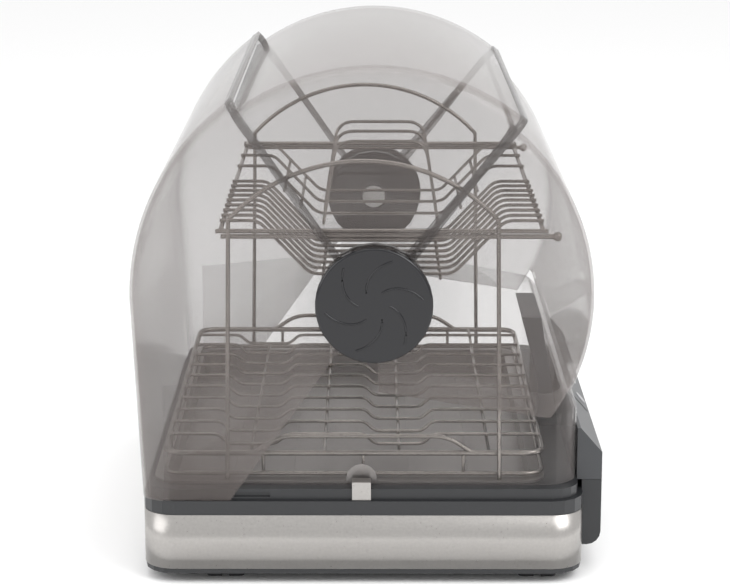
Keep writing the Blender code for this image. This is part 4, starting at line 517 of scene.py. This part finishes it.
@dataclass
class UpperRack:
    """The upper rack with its trough and its cup loops."""

    thin: float = 1.5 * MM
    frame_wire: float = 2.0 * MM
    rear: float = 119 * MM
    front: float = -150 * MM
    shelf: float = 30 * MM
    trough: float = 60.5 * MM
    depth: float = 46 * MM

    def build(self, base: float) -> None:
        """Bend the rails, the trough wires, the cradles, the ties and the loops."""
        low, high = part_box("upper_rack")
        rail = HUB.z + 55.8 * MM
        long_z, wire_z = rail + 2.9 * MM, rail + 5.4 * MM
        tie = wire_z - self.depth - 2.2 * MM
        middle = base + (self.rear + self.front) / 2
        bm = bmesh.new()
        end = high.x - self.frame_wire
        for y in (self.rear, self.front):
            tube(bm, [Vector((x, base + y, long_z)) for x in (-end, end)], self.frame_wire)
        for x in (223.2 * MM, -223.2 * MM):
            tube(bm, [Vector((x, y, rail)) for y in (low.y, high.y)], self.frame_wire)
        line = [(base + self.rear + 2.5 * MM, wire_z), (base + self.rear - self.shelf, wire_z)]
        line += [(middle + self.trough, wire_z - self.depth), (middle - self.trough, wire_z - self.depth)]
        line += [(base + self.front + self.shelf, wire_z), (base + self.front - 2.5 * MM, wire_z)]
        spots = [-205 * MM + 23 * MM * index for index in range(9)]
        spots += [60 * MM + 60 * MM * index for index in range(3)]
        for x in spots:
            tube(bm, eased([Vector((x, y, z)) for y, z in line], 7 * MM, 4), self.thin, sides=8)
        for y in (-49.6 * MM, 49.6 * MM):
            tube(bm, [Vector((x, middle + y, tie)) for x in (-213 * MM, -13 * MM)], self.thin, sides=8)
        for y in (-54 * MM, 54 * MM):
            tube(bm, [Vector((x, middle + y, tie)) for x in (22 * MM, 188 * MM)], self.thin, sides=8)
        for share in (0.35, 0.7):
            reach = self.rear - self.shelf - (self.rear + self.front) / 2
            y = reach - (reach - self.trough) * share + 1.9 * MM
            z = wire_z - self.depth * share - 1.1 * MM
            for sign in (-1, 1):
                ends = [Vector((x, middle + sign * y, z)) for x in (22 * MM, 188 * MM)]
                tube(bm, ends, self.thin, sides=8)
        for index in range(3):
            x = 30 * MM + 60 * MM * index
            line = [(54 * MM, tie), (42 * MM, tie + 77 * MM), (-42 * MM, tie + 77 * MM), (-54 * MM, tie)]
            path = [Vector((x, middle + y, z)) for y, z in line]
            tube(bm, eased(path, 16 * MM, 8), self.thin, sides=8)
        Piece("upper_rack_wire", "upper_rack", ("upper_rack",), CHROME, "chrome").show(bm)


@dataclass
class BaseBand:
    """The stainless skirt, drawn as a rounded band."""

    corner: float = 28 * MM
    wall: float = 1.0 * MM

    def build(self) -> None:
        """Extrude the rounded plan of the skirt and give it its wall."""
        low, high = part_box("stainless_skirt")
        bm = bmesh.new()
        plan = [(low.x, low.y), (high.x, low.y), (high.x, high.y), (low.x, high.y)]
        verts = [bm.verts.new((x, y, low.z)) for x, y in plan]
        bm.faces.new(verts)
        bmesh.ops.bevel(
            bm, geom=verts, offset=self.corner, affect="VERTICES", segments=12, profile=0.5, material=-1
        )
        edges = bm.edges[:]
        faces = bm.faces[:]
        grown = bmesh.ops.extrude_edge_only(bm, edges=edges)["geom"]
        up = [item for item in grown if isinstance(item, bmesh.types.BMVert)]
        bmesh.ops.translate(bm, verts=up, vec=(0, 0, high.z - low.z))
        bmesh.ops.delete(bm, geom=faces, context="FACES_ONLY")
        face_out(bm, Vector((0, 0, low.z)))
        Piece("skirt_band", "base", ("stainless_skirt",), STEEL, "brushed_steel").show(bm, self.wall)


NODE_FINISHES: dict[Finish, tuple[str, ...]] = {
    GUARD: ("front_guard",),
    CHARCOAL: ("base_rim", "bottom_pan", "console_lower", "air_elbow", "fan_housing", "fan_impeller"),
    CONSOLE: ("console_upper", "control_panel"),
    DUCT: ("air_duct", "duct_grille"),
    TRAY: ("drip_tray",),
    STEEL: ("near_guard_clip", "far_guard_clip", "fan_motor"),
    RUBBER: ("foot_1", "foot_2", "foot_3", "foot_4", "cord_gland"),
    WINDOW: ("indicator_window",),
    BUTTON: ("power_button", "timer_button"),
    BOARD: ("control_board",),
    ALUMINIUM: ("heater_block",),
    LAMP: ("sterilizer_lamp",),
    GLOSS: ("near_hub_retainer", "far_hub_retainer"),
    PIN: ("near_hub_pin", "far_hub_pin", "near_hub_washer", "far_hub_washer")
    + tuple(f"base_screw_{number}" for number in range(1, 5)),
}


def dress_nodes() -> None:
    """Give each carried CAD node its finish."""
    for finish, nodes in NODE_FINISHES.items():
        for node in nodes:
            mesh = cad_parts[node].data
            mesh.materials.clear()
            mesh.materials.append(material(finish))


@dataclass
class Studio:
    """The pale floor, the soft light and the camera of the photograph."""

    eye: tuple[float, float, float] = (-2.11, -0.00285, 0.69)
    look: tuple[float, float, float] = (0.9738, 0.00304, -0.22736)
    lens: float = 113.4
    white: tuple[float, float, float] = (0.93, 0.93, 0.93)

    def light(self, name: str, spot: Vector, size: float, power: float) -> None:
        """Hang one square soft light that points at the cabinet."""
        lamp = bpy.data.lights.new(name, "AREA")
        lamp.size = size
        lamp.energy = power
        holder = bpy.data.objects.new(name, lamp)
        bpy.context.scene.collection.objects.link(holder)
        holder.location = spot
        holder.rotation_euler = (Vector((0, 0, 0.2)) - spot).to_track_quat("-Z", "Y").to_euler()

    def build(self) -> None:
        """Make the floor, the world, the lights and the camera."""
        bm = bmesh.new()
        bmesh.ops.create_grid(bm, x_segments=1, y_segments=1, size=8.0)
        mesh = bpy.data.meshes.new("floor")
        bm.to_mesh(mesh)
        bm.free()
        floor = bpy.data.objects.new("floor", mesh)
        bpy.context.scene.collection.objects.link(floor)
        paper = bpy.data.materials.new("floor_paper")
        paper.use_nodes = True
        shader = paper.node_tree.nodes["Principled BSDF"]
        shader.inputs["Base Color"].default_value = (*self.white, 1)
        shader.inputs["Roughness"].default_value = 0.9
        mesh.materials.append(paper)
        world = bpy.data.worlds.new("studio")
        world.use_nodes = True
        back = world.node_tree.nodes["Background"]
        back.inputs["Color"].default_value = (1, 1, 1, 1)
        back.inputs["Strength"].default_value = 1.0
        scene = bpy.context.scene
        scene.world = world
        scene.cycles.transparent_max_bounces = 32
        scene.view_settings.view_transform = "Standard"
        self.light("key_light", Vector((-1.2, -1.4, 1.8)), 1.4, 26)
        self.light("fill_light", Vector((-1.0, 1.8, 1.2)), 1.6, 14)
        self.light("top_light", Vector((0.2, 0, 2.2)), 1.6, 16)
        lens = bpy.data.cameras.new("camera")
        lens.lens = self.lens
        lens.sensor_width = 36.0
        eye = bpy.data.objects.new("camera", lens)
        scene.collection.objects.link(eye)
        eye.location = self.eye
        eye.rotation_euler = Vector(self.look).to_track_quat("-Z", "Y").to_euler()
        scene.camera = eye


def main() -> None:
    """Build every sub-assembly in order and report each piece."""
    logging.basicConfig(level=logging.INFO)
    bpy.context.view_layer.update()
    base = (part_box("stainless_skirt")[0].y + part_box("stainless_skirt")[1].y) / 2
    dress_nodes()
    rear = Piece("rear_shell", "base", ("rear_cover",), SMOKY, "smoky_clear")
    RearCover(rear, 250.0 * MM, 206.0 * MM, 28 * MM, 124.8, 180.0).build()
    middle = Piece("middle_shell", "middle_cover", ("middle_cover",), SMOKY, "smoky_clear")
    Cover(middle, 245.5 * MM, 196.5 * MM, 22 * MM, 50.0, 127.3).build()
    front = Piece("front_shell", "front_cover", ("front_cover",), SMOKY, "smoky_clear")
    FrontCover(front, 241.0 * MM, 185.5 * MM, 20 * MM, -26.0, 52.5).build()
    for side, word in ((-1, "near"), (1, "far")):
        HubCap(side, word).build()
        Arches().build(base, word)
    LowerRack().build(base)
    UpperRack().build(base)
    BaseBand().build()
    Studio().build()


if __name__ == "__main__":
    main()
